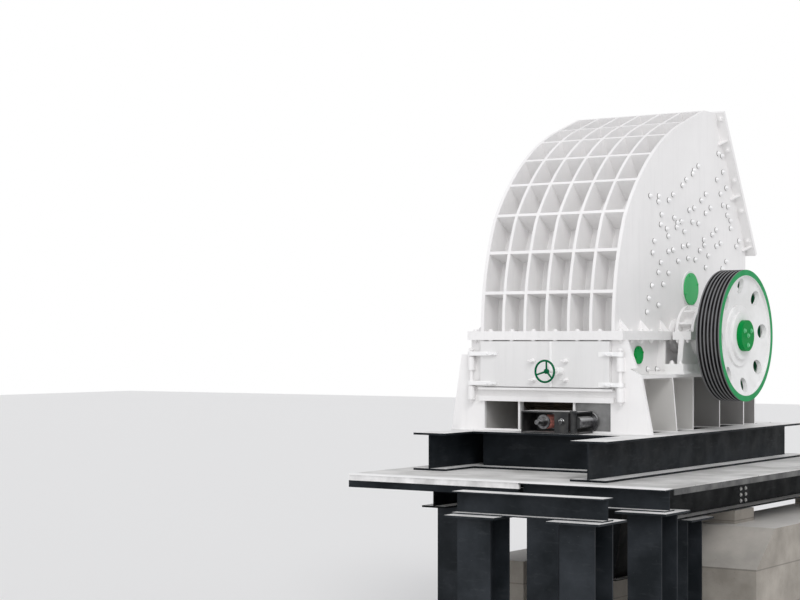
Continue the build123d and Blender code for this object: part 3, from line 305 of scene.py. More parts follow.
def beam_paint(name, dark, light):
    """Black paint, cloudy between two shades, with pale dust on top faces and specks on the webs."""
    material, tree, shader, spot = new_material(name, dark, 0.55)
    shader.inputs["Specular IOR Level"].default_value = 0.10
    worn = levels(tree, noise(tree, spot, 2.2, 6.0), 0.4, 0.75)
    base = coloured(tree, worn, dark, light)
    rubbed_spot = stretched(tree, spot, (3.0, 3.0, 14.0))
    rubbed = levels(tree, noise(tree, rubbed_spot, 1.5, 6.0, 0.65), 0.56, 0.80, 0.0, 0.30)
    base = coloured(tree, rubbed, base, (0.075, 0.08, 0.085))
    specks = levels(tree, noise(tree, spot, 60.0, 3.0, 0.7), 0.69, 0.80, 0.0, 0.35)
    base = coloured(tree, specks, base, (0.30, 0.29, 0.27))
    cover = levels(tree, noise(tree, spot, 3.0, 6.0), 0.25, 0.60, 0.70, 1.0)
    dust = times(tree, facing_up(tree, 0.6, 0.95), cover)
    coat(tree, shader, coloured(tree, dust, base, (0.86, 0.855, 0.845)))
    tree.links.new(levels(tree, noise(tree, spot, 4.0), 0.3, 0.7, 0.45, 0.68), shader.inputs["Roughness"])
    bumped(tree, shader, noise(tree, spot, 45.0, 3.0), 0.25, 0.002)
    return material


beam_black = beam_paint("beam_black", (0.006, 0.008, 0.010), (0.020, 0.024, 0.029))
paint_nodes(beam_black, "base_beam_left", "base_beam_right", "base_cross_beams")
# The columns and bents take a lighter copy of the black: painted light, for the light that falls on them.
column_lit_black = beam_paint("column_lit_black", (0.013, 0.016, 0.019), (0.036, 0.041, 0.048))
paint_nodes(column_lit_black, "front_columns", "second_columns", "third_columns")
paint_nodes(column_lit_black, "front_bent_beam", "second_bent_beam")
# The girders, joists and hopper take a darker copy: painted shade, for their place in the shadow under the
# deck.
girder_shaded_black = beam_paint("girder_shaded_black", (0.002, 0.003, 0.004), (0.011, 0.013, 0.015))
paint_nodes(girder_shaded_black, "girder_left", "girder_right", "floor_joists", "discharge_hopper")

# Deck of plain steel plates, butted and welded, covered with pale stone dust that footsteps have
# worn in places, and painted paler along the front edge, a painted highlight of the lit edge. The weld seams
# show as fine darker lines across it.
seam_pitch = 1.52
seam_half_width = 0.006


def repeated_lines(tree, value, pitch, half_width):
    """Grey value that is 1 on narrow lines repeated along a coordinate."""
    wave = tree.nodes.new("ShaderNodeMath")
    wave.operation = "PINGPONG"
    wave.inputs[1].default_value = pitch / 2
    tree.links.new(value, wave.inputs[0])
    return levels(tree, wave.outputs[0], half_width, 1.6 * half_width, 1.0, 0.0)


rim_highlight_front = -2.12
rim_highlight_back = -2.00
deck_steel, tree, shader, spot = new_material("deck_steel", (0.6, 0.59, 0.57), 0.75)
deck_clouds = levels(tree, noise(tree, spot, 1.6, 7.0), 0.35, 0.62)
deck_colour = coloured(tree, deck_clouds, (0.46, 0.455, 0.44), (0.74, 0.735, 0.72))
deck_scuffs = levels(tree, noise(tree, spot, 14.0, 6.0, 0.7), 0.60, 0.76, 0.0, 0.45)
deck_colour = coloured(tree, deck_scuffs, deck_colour, (0.30, 0.29, 0.28))
deck_along = axis_value(tree, spot, "Y")
deck_seams = times(tree, repeated_lines(tree, deck_along, seam_pitch, seam_half_width), 0.6)
deck_colour = coloured(tree, deck_seams, deck_colour, (0.20, 0.19, 0.18))
deck_rim_highlight = levels(tree, deck_along, rim_highlight_front, rim_highlight_back, 0.85, 0.0)
deck_colour = coloured(tree, deck_rim_highlight, deck_colour, (0.96, 0.955, 0.95))
coat(tree, shader, deck_colour)
bumped(tree, shader, noise(tree, spot, 40.0, 4.0), 0.3, 0.003)
paint_nodes(deck_steel, "deck_plate")

# Edge strips of the deck, black like the beams. The packing bar on top of the front strip is bare
# and pale with dust, and the strip along the right side is grey with splashed dust.
packing_foot = 2.131
packing_side = -2.05
right_strip_side = 1.7365
deck_edge_paint = beam_paint("deck_edge_paint", (0.006, 0.008, 0.010), (0.020, 0.024, 0.029))
tree, shader, spot, edge_black = opened(deck_edge_paint)
above_foot = levels(tree, axis_value(tree, spot, "Z"), packing_foot - 0.001, packing_foot)
in_front = levels(tree, axis_value(tree, spot, "Y"), packing_side, packing_side + 0.01, 1.0, 0.0)
on_packing = times(tree, above_foot, in_front)
packing_clouds = levels(tree, noise(tree, spot, 5.0, 6.0), 0.35, 0.65)
packing_colour = coloured(tree, packing_clouds, (0.60, 0.595, 0.59), (0.88, 0.875, 0.87))
edge_across = axis_value(tree, spot, "X")
on_right_strip = levels(tree, edge_across, right_strip_side - 0.001, right_strip_side, 0.0, 0.8)
splash_colour = coloured(tree, packing_clouds, (0.09, 0.09, 0.09), (0.20, 0.20, 0.195))
edge_black = coloured(tree, on_right_strip, edge_black, splash_colour)
coat(tree, shader, coloured(tree, on_packing, edge_black, packing_colour))
paint_nodes(deck_edge_paint, "deck_edge")

# Concrete piers, cast against boards: cloudy grey-brown with fine pores, darker at the board lines,
# and painted pale on the top faces, a painted highlight of the sunlit tops.
board_pitch = 0.42
board_half_width = 0.005
concrete, tree, shader, spot = new_material("concrete", (0.3, 0.29, 0.26), 0.9)
concrete_clouds = levels(tree, noise(tree, spot, 1.7, 7.0), 0.35, 0.68)
concrete_colour = coloured(tree, concrete_clouds, (0.25, 0.23, 0.20), (0.44, 0.405, 0.36))
concrete_grain = noise(tree, spot, 55.0, 3.0, 0.6)
concrete_pores = levels(tree, concrete_grain, 0.66, 0.74, 0.0, 0.6)
concrete_colour = coloured(tree, concrete_pores, concrete_colour, (0.09, 0.085, 0.075))
pier_height = axis_value(tree, spot, "Z")
board_lines = times(tree, repeated_lines(tree, pier_height, board_pitch, board_half_width), 0.5)
concrete_colour = coloured(tree, board_lines, concrete_colour, (0.12, 0.11, 0.10))
concrete_lit_tops = times(tree, facing_up(tree, 0.7, 0.98), 0.6)
concrete_colour = coloured(tree, concrete_lit_tops, concrete_colour, (0.80, 0.79, 0.77))
coat(tree, shader, concrete_colour)
bumped(tree, shader, noise(tree, spot, 25.0, 6.0), 0.5, 0.006)
paint_nodes(concrete, "pier_left", "pier_right")

# Green enamel of the pulley's end cap, a deep colour with a dull shine.
cover_green = enamel("cover_green", (0.003, 0.255, 0.052), (0.02, 0.31, 0.09), 0.04)
paint_nodes(cover_green, "pulley_cap")

# Round covers on the side walls: a large disc on a white ring, in a paler green, and a small disc
# in the deep green of the pulley's cap.
large_cover_place = (1.436, 4.172)
large_cover_radius = 0.1825
between_covers = 3.85
side_green = enamel("side_green", (0.066, 0.48, 0.160), (0.14, 0.50, 0.24), 0.10)
tree, shader, spot, large_green = opened(side_green)


def distance_from(tree, spot, middle, along="X"):
    """Distance from an axis along X or Y, through a point given by its other two coordinates."""
    centred = tree.nodes.new("ShaderNodeMapping")
    if along == "X":
        centred.inputs["Location"].default_value = (0, -middle[0], -middle[1])
        centred.inputs["Scale"].default_value = (0, 1, 1)
    else:
        centred.inputs["Location"].default_value = (-middle[0], 0, -middle[1])
        centred.inputs["Scale"].default_value = (1, 0, 1)
    tree.links.new(spot, centred.inputs["Vector"])
    length = tree.nodes.new("ShaderNodeVectorMath")
    length.operation = "LENGTH"
    tree.links.new(centred.outputs["Vector"], length.inputs[0])
    return length.outputs["Value"]


upper_cover = levels(tree, axis_value(tree, spot, "Z"), between_covers, between_covers + 0.01)
from_cover = distance_from(tree, spot, large_cover_place)
on_ring = levels(tree, from_cover, large_cover_radius, large_cover_radius + 0.001)
cover_clouds = levels(tree, noise(tree, spot, 6.0, 5.0), 0.35, 0.7)
small_green = coloured(tree, cover_clouds, (0.003, 0.30, 0.056), (0.01, 0.34, 0.085))
ring_white = coloured(tree, cover_clouds, (0.83, 0.83, 0.83), (0.72, 0.72, 0.71))
disc_green = coloured(tree, upper_cover, small_green, large_green)
coat(tree, shader, coloured(tree, times(tree, on_ring, upper_cover), disc_green, ring_white))
paint_nodes(side_green, "round_covers")

# Bare dark steel of the grate adjuster: sawn plate, oiled and dusty. What is turned, the rod, the
# nut, the tube and its disc, is smoother, with its upper side painted white, a painted highlight.
adjuster_steel, tree, shader, spot = new_material("adjuster_steel", (0.05, 0.05, 0.055), 0.4, 0.5)
adjuster_clouds = levels(tree, noise(tree, spot, 9.0, 6.0), 0.40, 0.72)
adjuster_colour = coloured(tree, adjuster_clouds, (0.012, 0.013, 0.015), (0.055, 0.054, 0.052))
dust_patches = levels(tree, noise(tree, spot, 6.0), 0.3, 0.7, 0.25, 0.75)
adjuster_dust = times(tree, facing_up(tree, 0.5, 0.95), dust_patches)
adjuster_colour = coloured(tree, adjuster_dust, adjuster_colour, (0.80, 0.79, 0.78))
turned_rings = levels(tree, noise(tree, spot, 30.0, 4.0), 0.35, 0.7)
turned_colour = coloured(tree, turned_rings, (0.07, 0.07, 0.075), (0.20, 0.20, 0.205))
painted_top_highlight = facing_up(tree, 0.15, 0.60)
turned_colour = coloured(tree, painted_top_highlight, turned_colour, (1.0, 1.0, 1.0))
rod_place = (-0.415, 2.720)
washer_radius = 0.085
box_side = 0.041
from_rod = distance_from(tree, spot, rod_place, "Y")
on_rod = levels(tree, from_rod, washer_radius, washer_radius + 0.001, 1.0, 0.0)
adjuster_across = axis_value(tree, spot, "X")
on_tube = levels(tree, adjuster_across, box_side, box_side + 0.001)
adjuster_colour = coloured(tree, on_rod, adjuster_colour, turned_colour)
adjuster_colour = coloured(tree, on_tube, adjuster_colour, turned_colour)
on_turned = tree.nodes.new("ShaderNodeMath")
on_turned.operation = "MAXIMUM"
tree.links.new(on_rod, on_turned.inputs[0])
tree.links.new(on_tube, on_turned.inputs[1])
for quality, of_plate, of_turned in (("Metallic", 0.3, 0.85), ("Roughness", 0.5, 0.3)):
    adjuster_value = levels(tree, on_turned.outputs[0], 0.0, 1.0, of_plate, of_turned)
    tree.links.new(adjuster_value, shader.inputs[quality])
coat(tree, shader, adjuster_colour)
bumped(tree, shader, noise(tree, spot, 70.0, 4.0), 0.3, 0.002)
paint_nodes(adjuster_steel, "adjuster_bracket")

# Bare worn steel of the rotor and the grate, and the turned shaft.
rotor_steel, tree, shader, spot = new_material("rotor_steel", (0.16, 0.14, 0.12), 0.55, 0.6)
rotor_clouds = levels(tree, noise(tree, spot, 4.0, 6.0), 0.35, 0.7)
coat(tree, shader, coloured(tree, rotor_clouds, (0.09, 0.08, 0.075), (0.26, 0.20, 0.15)))
bumped(tree, shader, noise(tree, spot, 30.0, 5.0), 0.5, 0.004)
paint_nodes(rotor_steel, "rotor_discs", "hammer_pins", "hammers", "discharge_grate")
shaft_steel, tree, shader, spot = new_material("shaft_steel", (0.42, 0.41, 0.40), 0.35, 0.9)
shaft_turned = noise(tree, stretched(tree, spot, (140.0, 2.0, 2.0)), 1.0, 3.0)
shaft_colour = coloured(tree, levels(tree, shaft_turned, 0.3, 0.7), (0.30, 0.29, 0.28), (0.50, 0.49, 0.48))
coat(tree, shader, shaft_colour)
bumped(tree, shader, shaft_turned, 0.2, 0.001)
paint_nodes(shaft_steel, "rotor_shaft")

# Drive pulley: one iron casting. The grooved band is bare and black from the belts, the rim's end
# face is painted green, the dished web and the hub are white, and behind the web all is green.
pulley_axis = (1.06, 3.64)
band_radius = 0.664
web_radius = 0.6585
ridge_radius = 0.722
end_plane = 1.1535
behind_web = 1.035
pulley_iron, tree, shader, spot = new_material("pulley_iron", (0.03, 0.03, 0.032), 0.5)
shader.inputs["Specular IOR Level"].default_value = 0.12
radius = distance_from(tree, spot, pulley_axis)
across = axis_value(tree, spot, "X")
on_end = levels(tree, across, end_plane, end_plane + 0.001)
on_back = levels(tree, across, behind_web, behind_web + 0.001, 1.0, 0.0)
on_rim = levels(tree, radius, web_radius, web_radius + 0.002)
on_band = levels(tree, radius, band_radius, band_radius + 0.002)
iron_clouds = levels(tree, noise(tree, spot, 6.0, 6.0), 0.35, 0.7)
web_clouds = times(tree, iron_clouds, 0.5)
web_paint = coloured(tree, web_clouds, (0.86, 0.86, 0.855), (0.70, 0.70, 0.685))
rim_paint = coloured(tree, iron_clouds, (0.010, 0.27, 0.075), (0.03, 0.33, 0.12))
back_paint = coloured(tree, iron_clouds, (0.003, 0.085, 0.030), (0.008, 0.13, 0.05))
band_iron = coloured(tree, iron_clouds, (0.006, 0.006, 0.007), (0.040, 0.039, 0.038))
band_specks = levels(tree, noise(tree, spot, 80.0, 3.0, 0.7), 0.66, 0.78, 0.0, 0.5)
band_iron = coloured(tree, band_specks, band_iron, (0.30, 0.29, 0.28))
# The tips of the band's ridges are painted grey, a painted highlight of their lit edges.
on_tip_highlight = levels(tree, radius, ridge_radius - 0.003, ridge_radius - 0.001)
band_iron = coloured(tree, on_tip_highlight, band_iron, (0.17, 0.17, 0.175))
pulley_colour = coloured(tree, on_back, web_paint, back_paint)
pulley_colour = coloured(tree, on_band, pulley_colour, band_iron)
pulley_colour = coloured(tree, times(tree, on_end, on_rim), pulley_colour, rim_paint)
coat(tree, shader, pulley_colour)
bumped(tree, shader, noise(tree, spot, 90.0, 3.0), 0.2, 0.0015)
paint_nodes(pulley_iron, "pulley")

# Bolts of the split flange: hexagon heads on washers above the upper flange, nuts and bolt ends
# under the lower one, one in each rib cell at the front and a row along each side and the rear.
casing_middle = -0.535
flange_top = 3.688
flange_foot = 3.592
rib_pitch = 0.270
rotor_middle = 1.06


def deselected(kind):
    """Leaves nothing of the active mesh selected, neither faces nor points, ready to select one kind."""
    bpy.ops.object.mode_set(mode="EDIT")
    bpy.ops.mesh.select_mode(type=kind)
    bpy.ops.mesh.select_all(action="DESELECT")
    bpy.ops.object.mode_set(mode="OBJECT")


def select_faces(piece, chosen):
    """Selects the faces whose centre and normal pass a test, and stays in edit mode."""
    deselected("FACE")
    for face in piece.data.polygons:
        face.select = chosen(face.center, face.normal)
    bpy.ops.object.mode_set(mode="EDIT")


def looking_up(centre, normal):
    """Test for the faces on top."""
    return normal.z > 0.9


def stepped(piece, *steps):
    """Works the top face in steps: set in by a width and raised by a height, or, for width 0, drawn up."""
    select_faces(piece, looking_up)
    for width, height in steps:
        if width:
            bpy.ops.mesh.inset(thickness=width, depth=height)
        else:
            bpy.ops.mesh.extrude_region_move(TRANSFORM_OT_translate={"value": (0, 0, height)})
    bpy.ops.object.mode_set(mode="OBJECT")


def new_cylinder(name, radius, low, high, sides):
    """Upright cylinder about the origin's axis, the only thing selected."""
    bpy.ops.object.select_all(action="DESELECT")
    middle = (0, 0, (low + high) / 2)
    bpy.ops.mesh.primitive_cylinder_add(vertices=sides, radius=radius, depth=high - low, location=middle)
    piece = bpy.context.object
    piece.name = name
    bpy.ops.object.transform_apply()
    return piece


def joined(name, pieces):
    """The pieces as one, with the origin at the world's."""
    bpy.ops.object.select_all(action="DESELECT")
    for piece in pieces:
        piece.select_set(True)
    bpy.context.view_layer.objects.active = pieces[0]
    if len(pieces) > 1:
        bpy.ops.object.join()
    whole = bpy.context.object
    whole.name = name
    whole.data.name = name
    bpy.ops.object.transform_apply()
    return whole


def hexagon(name, radius, low, high, chamfer):
    """Hexagon head or nut with its corners turned off at the top."""
    head = new_cylinder(name, radius, low, high, 6)
    select_faces(head, looking_up)
    bpy.ops.mesh.extrude_region_move(TRANSFORM_OT_translate={"value": (0, 0, chamfer)})
    bpy.ops.transform.resize(value=(0.86, 0.86, 1))
    bpy.ops.object.mode_set(mode="OBJECT")
    return head


def washer(name, radius, low, high):
    """Round washer with a rounded upper edge."""
    disc = new_cylinder(name, radius, low, high, 16)
    stepped(disc, ((high - low) * 0.4, (high - low) * 0.4))
    return disc


def bolt_head(name, radius):
    """Hexagon head on its washer, standing on the plane z = 0."""
    disc = washer(name + "_washer", 1.35 * radius, 0, 0.2 * radius)
    return joined(name, [disc, hexagon(name + "_head", radius, 0.22 * radius, 0.85 * radius, 0.1 * radius)])


def nut_end(name, radius):
    """Washer, hexagon nut and the bolt's end, standing on the plane z = 0."""
    disc = washer(name + "_washer", 1.35 * radius, 0, 0.2 * radius)
    nut = hexagon(name + "_nut", radius, 0.22 * radius, 1.05 * radius, 0.1 * radius)
    end = new_cylinder(name + "_end", 0.55 * radius, 0.22 * radius, 1.55 * radius, 12)
    return joined(name, [disc, nut, end])


def turned_to(place, direction):
    """Matrix that sets a model's foot at a point and its z axis along a direction."""
    turn = Vector((0, 0, 1)).rotation_difference(Vector(direction)).to_matrix().to_4x4()
    return Matrix.Translation(Vector(place)) @ turn


def copied(name, model, places, material, body):
    """Copies of a model, each with its own mesh, set at points and turned along directions."""
    pieces = []
    for place, direction in places:
        piece = model.copy()
        piece.data = model.data.copy()
        bpy.context.scene.collection.objects.link(piece)
        piece.matrix_world = turned_to(place, direction)
        pieces.append(piece)
    bpy.data.objects.remove(model)
    whole = joined(name, pieces)
    painted(whole, material)
    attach(whole, body)


flange_bolt_radius = 0.0235
cell_count = 6
front_row_y = -0.437
rear_row_y = 3.037
side_row_reach = 0.897
front_corner_y = -0.40
cell_middles = [casing_middle + (number - (cell_count - 1) / 2) * rib_pitch for number in range(cell_count)]
side_rows = [
    (casing_middle + side * side_row_reach, rotor_middle + turn * step)
    for side in (-1, 1)
    for turn in (-1, 1)
    for step in (0.26, 0.50, 0.74, 0.98, 1.22, 1.46, 1.70)
    if rotor_middle + turn * step > front_corner_y
]
flange_spots = [(x, front_row_y) for x in cell_middles] + [(x, rear_row_y) for x in cell_middles] + side_rows
flange_heads = [((x, y, flange_top), (0, 0, 1)) for x, y in flange_spots]
flange_nuts = [((x, y, flange_foot), (0, 0, -1)) for x, y in flange_spots]
copied("flange_bolt_heads", bolt_head("flange_head", flange_bolt_radius), flange_heads, casing_white, "base")
copied("flange_bolt_nuts", nut_end("flange_nut", flange_bolt_radius), flange_nuts, casing_white, "base")

# Bolts that hold the wear liners inside the side walls: nuts and short bolt ends, painted over in a
# brighter white as a painted highlight, on wider washers dark with grime and painted shadow. Each is set at
# its own place, given by Y and Z, alike on both walls.
liner_bolt_radius = 0.021
liner_spots = (
    (1.65, 5.59), (1.53, 5.53), (1.50, 5.49), (1.33, 5.41), (1.23, 5.34), (0.99, 5.22), (0.88, 5.15),
    (0.63, 5.18), (0.62, 5.12), (0.42, 5.17), (1.85, 5.28), (1.73, 5.20), (2.20, 5.78), (2.30, 5.76),
    (2.33, 5.57), (2.16, 5.47), (2.42, 5.39), (2.26, 5.31), (2.33, 5.18), (2.47, 5.17), (2.45, 5.07),
    (2.54, 5.01), (2.55, 4.92), (1.41, 5.07), (1.54, 5.10), (1.98, 5.13), (1.85, 5.06), (0.70, 4.98),
    (1.02, 4.96), (1.20, 4.93), (1.10, 4.91), (1.08, 4.86), (0.68, 4.87), (0.83, 4.83), (0.87, 4.75),
    (1.49, 4.94), (1.65, 4.93), (1.28, 4.82), (2.14, 4.88), (2.03, 4.82), (1.80, 4.75), (1.81, 4.69),
    (0.52, 4.68), (0.48, 4.55), (1.24, 4.65), (1.38, 4.67), (2.26, 4.73), (2.14, 4.69), (0.87, 4.58),
    (0.99, 4.60), (1.69, 4.62), (1.92, 4.57), (1.38, 4.52), (1.57, 4.51), (0.68, 4.45), (1.12, 4.48),
    (2.42, 4.52), (1.85, 4.43), (2.31, 4.43), (0.62, 4.34), (0.87, 4.34), (0.46, 4.19), (0.74, 4.21),
    (0.38, 4.05), (0.62, 3.98), (0.34, 3.90), (2.79, 4.78), (2.71, 4.71), (0.36, 3.276), (0.58, 3.273),
)
wall_right = 0.295
wall_left = 2 * casing_middle - wall_right
side_walls = (("right", wall_right, 1), ("left", wall_left, -1))
dark_washer_thickness = 0.005
washer_grime_and_shadow = enamel("washer_grime_and_shadow", (0.20, 0.195, 0.19))
nut_highlight_white = enamel("nut_highlight_white", (0.95, 0.95, 0.95))
for side_name, wall_x, outwards in side_walls:
    dark_washer_places = [((wall_x, y, z), (outwards, 0, 0)) for y, z in liner_spots]
    nut_places = [((wall_x + outwards * dark_washer_thickness, y, z), (outwards, 0, 0)) for y, z in liner_spots]
    dark_washer = washer("liner_washer", 1.45 * liner_bolt_radius, 0, 0.25 * liner_bolt_radius)
    copied("liner_washers_" + side_name, dark_washer, dark_washer_places, washer_grime_and_shadow, "base")
    liner_nut = nut_end("liner_bolt", liner_bolt_radius)
    copied("liner_bolts_" + side_name, liner_nut, nut_places, nut_highlight_white, "base")

# Bolts of the slanted inlet flange: heads on its outer face for the feed chute, nuts behind it,
# along both sides and under the mouth.
inlet_lean = math.radians(29.7)
inlet_top = Vector((0, 2.12, 6.2463))
inlet_down = Vector((0, math.sin(inlet_lean), -math.cos(inlet_lean)))
inlet_out = Vector((0, math.cos(inlet_lean), math.sin(inlet_lean)))
inlet_thickness = 0.045
inlet_bolt_radius = 0.024
inlet_side_reach = 0.885
inlet_foot_run = 1.833


def on_inlet(run, across):
    """Point of the inlet flange's rear face, down from its top and across from the casing's middle."""
    return inlet_top + inlet_down * run + Vector((casing_middle + across, 0, 0))


inlet_spots = [
    on_inlet(run, side * inlet_side_reach) for side in (-1, 1) for run in (0.08, 0.48, 0.88, 1.28, 1.68)
]
inlet_spots += [on_inlet(inlet_foot_run, across) for across in (-0.6, -0.3, 0, 0.3, 0.6)]
inlet_heads = [(spot + inlet_out * inlet_thickness, inlet_out) for spot in inlet_spots]
inlet_nuts = [(spot, -inlet_out) for spot in inlet_spots]
copied("inlet_flange_heads", bolt_head("inlet_head", inlet_bolt_radius), inlet_heads, casing_white, "base")
copied("inlet_flange_nuts", nut_end("inlet_nut", inlet_bolt_radius), inlet_nuts, casing_white, "base")

# Screws of the round covers on the side walls: four domed heads on each cover, painted with it.
cover_screw_radius = 0.012


def round_bolt(name, radius):
    """Domed head on a washer, standing on the plane z = 0."""
    head = new_cylinder(name + "_dome", radius, 0.25 * radius, 0.65 * radius, 12)
    stepped(head, (0.28 * radius, 0.22 * radius), (0.30 * radius, 0.10 * radius))
    return joined(name, [washer(name + "_washer", 1.3 * radius, 0, 0.27 * radius), head])


def on_circle(x, middle_y, middle_z, circle, angle):
    """Point on a circle that stands square to the X axis, by an angle in degrees from +Y."""
    turn = math.radians(angle)
    return (x, middle_y + circle * math.cos(turn), middle_z + circle * math.sin(turn))


small_cover_place = (0.136, 3.430)
for side_name, wall_x, outwards in side_walls:
    screw_places = [
        (on_circle(wall_x + outwards * stand, *place, circle, 20 + 90 * quarter), (outwards, 0, 0))
        for place, circle, stand in ((large_cover_place, 0.163, 0.026), (small_cover_place, 0.080, 0.020))
        for quarter in range(4)
    ]
    cover_screw = round_bolt("cover_screw", cover_screw_radius)
    copied("cover_screws_" + side_name, cover_screw, screw_places, side_green, "base")

# Bolts of the bearing housings: two beside each end of the cap through the joint plates, and two
# foot bolts at each end of the base.
bearing_gap = 0.16
cap_bolt_radius = 0.022
foot_bolt_radius = 0.026
cap_top = 3.685
cap_foot = 3.595
foot_top = 3.329


def bearing_spots(steps, reach):
    """X and Y of the bolts of both bearings: at steps outwards, to either side of the shaft."""
    starts = ((wall_right + bearing_gap, 1), (wall_left - bearing_gap, -1))
    return [
        (start + outwards * across, rotor_middle + end * reach)
        for start, outwards in starts
        for across in steps
        for end in (-1, 1)
    ]


cap_spots = bearing_spots((0.05, 0.17), 0.37)
cap_bolts = [((x, y, cap_top), (0, 0, 1)) for x, y in cap_spots]
cap_nuts = [((x, y, cap_foot), (0, 0, -1)) for x, y in cap_spots]
foot_bolts = [((x, y, foot_top), (0, 0, 1)) for x, y in bearing_spots((0.06, 0.16), 0.54)]
copied("bearing_cap_bolts", bolt_head("cap_bolt", cap_bolt_radius), cap_bolts, casing_white, "base")
copied("bearing_cap_nuts", nut_end("cap_nut", cap_bolt_radius), cap_nuts, casing_white, "base")
copied("bearing_foot_bolts", nut_end("foot_bolt", foot_bolt_radius), foot_bolts, casing_white, "base")

# Seal housings round the shaft, between the side walls and the bearings: a short drum with a
# stepped end, cast in halves and painted with the casing.
shaft_height = 3.64
seal_radius = 0.190
seal_depth = 0.070
for side_name, wall_x, outwards in side_walls:
    drum = new_cylinder("shaft_seal_" + side_name, seal_radius, 0, seal_depth, 48)
    stepped(drum, (0.012, 0.010), (0.020, 0), (0, 0.045), (0.010, 0.008), (0.034, 0), (0, -0.020))
    bpy.ops.object.shade_smooth_by_angle(angle=math.radians(40))
    drum.rotation_euler = (0, math.radians(90 * outwards), 0)
    drum.location = (wall_x, rotor_middle, shaft_height)
    bpy.ops.object.transform_apply()
    painted(drum, casing_white)
    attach(drum, "base")

# Gussets that stiffen the inlet flange against the side walls, three on each side, cut from plate
# with one corner off and welded in.
gusset_reach = 0.090
gusset_length = 0.110
gusset_plate = 0.016
corner_cut = 0.075
casing_half_width = 0.83
inlet_gussets = []
for side in (-1, 1):
    for run in (0.36, 1.075, 1.76):
        bpy.ops.object.select_all(action="DESELECT")
        bpy.ops.mesh.primitive_cube_add(size=1, location=(gusset_reach / 2, gusset_length / 2, 0))
        gusset = bpy.context.object
        gusset.scale = (gusset_reach, gusset_length, gusset_plate)
        bpy.ops.object.transform_apply()
        deselected("VERT")
        for corner in gusset.data.vertices:
            corner.select = corner.co.x > 0.9 * gusset_reach and corner.co.y > 0.9 * gusset_length
        bpy.ops.object.mode_set(mode="EDIT")
        bpy.ops.transform.translate(value=(-corner_cut, 0, 0))
        bpy.ops.object.mode_set(mode="OBJECT")
        place = on_inlet(run, side * casing_half_width)
        gusset.matrix_world = Matrix(
            (
                (side, 0, 0, place.x),
                (0, -inlet_out.y, side * inlet_down.y, place.y),
                (0, -inlet_out.z, side * inlet_down.z, place.z),
                (0, 0, 0, 1),
            )
        )
        inlet_gussets.append(gusset)
gusset_piece = joined("inlet_flange_gussets", inlet_gussets)
bpy.ops.object.mode_set(mode="EDIT")
bpy.ops.mesh.select_all(action="SELECT")
bpy.ops.mesh.normals_make_consistent(inside=False)
bpy.ops.object.mode_set(mode="OBJECT")
painted(gusset_piece, casing_white)
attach(gusset_piece, "base")

# Three bolts and a centre plug on the pulley's end cap, which they hold to the shaft's end, with
# the green worn pale by the spanner.
cap_bolt_green = enamel("cap_bolt_green", (0.13, 0.52, 0.24), (0.40, 0.60, 0.45), 0.3)
cap_face = 1.170
cap_circle = 0.105
plug_and_bolts = [(cap_face, rotor_middle, shaft_height)]
plug_and_bolts += [on_circle(cap_face, *pulley_axis, cap_circle, 270 + 120 * third) for third in range(3)]
cap_bolt_places = [(place, (1, 0, 0)) for place in plug_and_bolts]
copied("pulley_cap_bolts", bolt_head("pulley_cap_bolt", 0.019), cap_bolt_places, cap_bolt_green, "rotor")

# Swing bolts that clamp the two door leaves: a short stud with a cross bar at each corner of the
# joint, painted with the casing.
door_front = -0.462


def rounded_ends(rod, width, height):
    """Sets in and draws out both ends of an upright rod."""
    select_faces(rod, lambda centre, normal: abs(normal.z) > 0.9)
    bpy.ops.mesh.inset(thickness=width, depth=height, use_individual=True)
    bpy.ops.object.mode_set(mode="OBJECT")


def door_clamp(name):
    """Stud on a round boss with a cross bar near its end, standing on the plane z = 0."""
    boss = new_cylinder(name + "_boss", 0.026, 0, 0.014, 16)
    stepped(boss, (0.008, 0.006), (0, 0.030), (0.004, 0.004))
    bar = new_cylinder(name + "_bar", 0.010, -0.045, 0.030, 10)
    rounded_ends(bar, 0.004, 0.004)
    bar.rotation_euler = (0, math.radians(90), 0)
    bar.location = (0, 0, 0.038)
    return joined(name, [boss, bar])


for side_name, places in (
    ("left", ((-0.663, 3.366), (-0.650, 3.160))),
    ("right", ((-0.256, 3.366), (-0.256, 3.162))),
):
    clamp_places = [((x, door_front, z), (0, -1, 0)) for x, z in places]
    clamp = door_clamp("door_clamp")
    copied("door_clamps_" + side_name, clamp, clamp_places, casing_white, "door_" + side_name)

# Handwheel on its long spindle: a thick round rim on three tapering spokes that lean back to the
# hub, one casting in deep green enamel. The spindle with its collar is white like the door.
wheel_place = (-0.325, -0.802, 3.26)
wheel_radius = 0.1125
rim_radius = 0.0125
hub_front = -0.018
hub_back = -0.050
collar_front = -0.212
collar_back = -0.224
spindle_end = -0.340
wheel_green = enamel("wheel_green", (0.002, 0.120, 0.048), (0.02, 0.17, 0.08), 0.06)
tree, shader, spot, hub_paint = opened(wheel_green)
hub_plane = wheel_place[1] - hub_back
on_spindle = levels(tree, axis_value(tree, spot, "Y"), hub_plane, hub_plane + 0.001)
coat(tree, shader, coloured(tree, on_spindle, hub_paint, (0.82, 0.815, 0.81)))
bpy.ops.object.select_all(action="DESELECT")
bpy.ops.mesh.primitive_torus_add(
    major_radius=wheel_radius, minor_radius=rim_radius, major_segments=56, minor_segments=16
)
grip = bpy.context.object
select_faces(grip, lambda centre, normal: math.hypot(centre.x, centre.y) < wheel_radius - 0.8 * rim_radius)
bpy.ops.transform.resize(value=(1.02, 1.02, 1), center_override=(0, 0, 0))
bpy.ops.object.mode_set(mode="OBJECT")
wheel_parts = [grip]
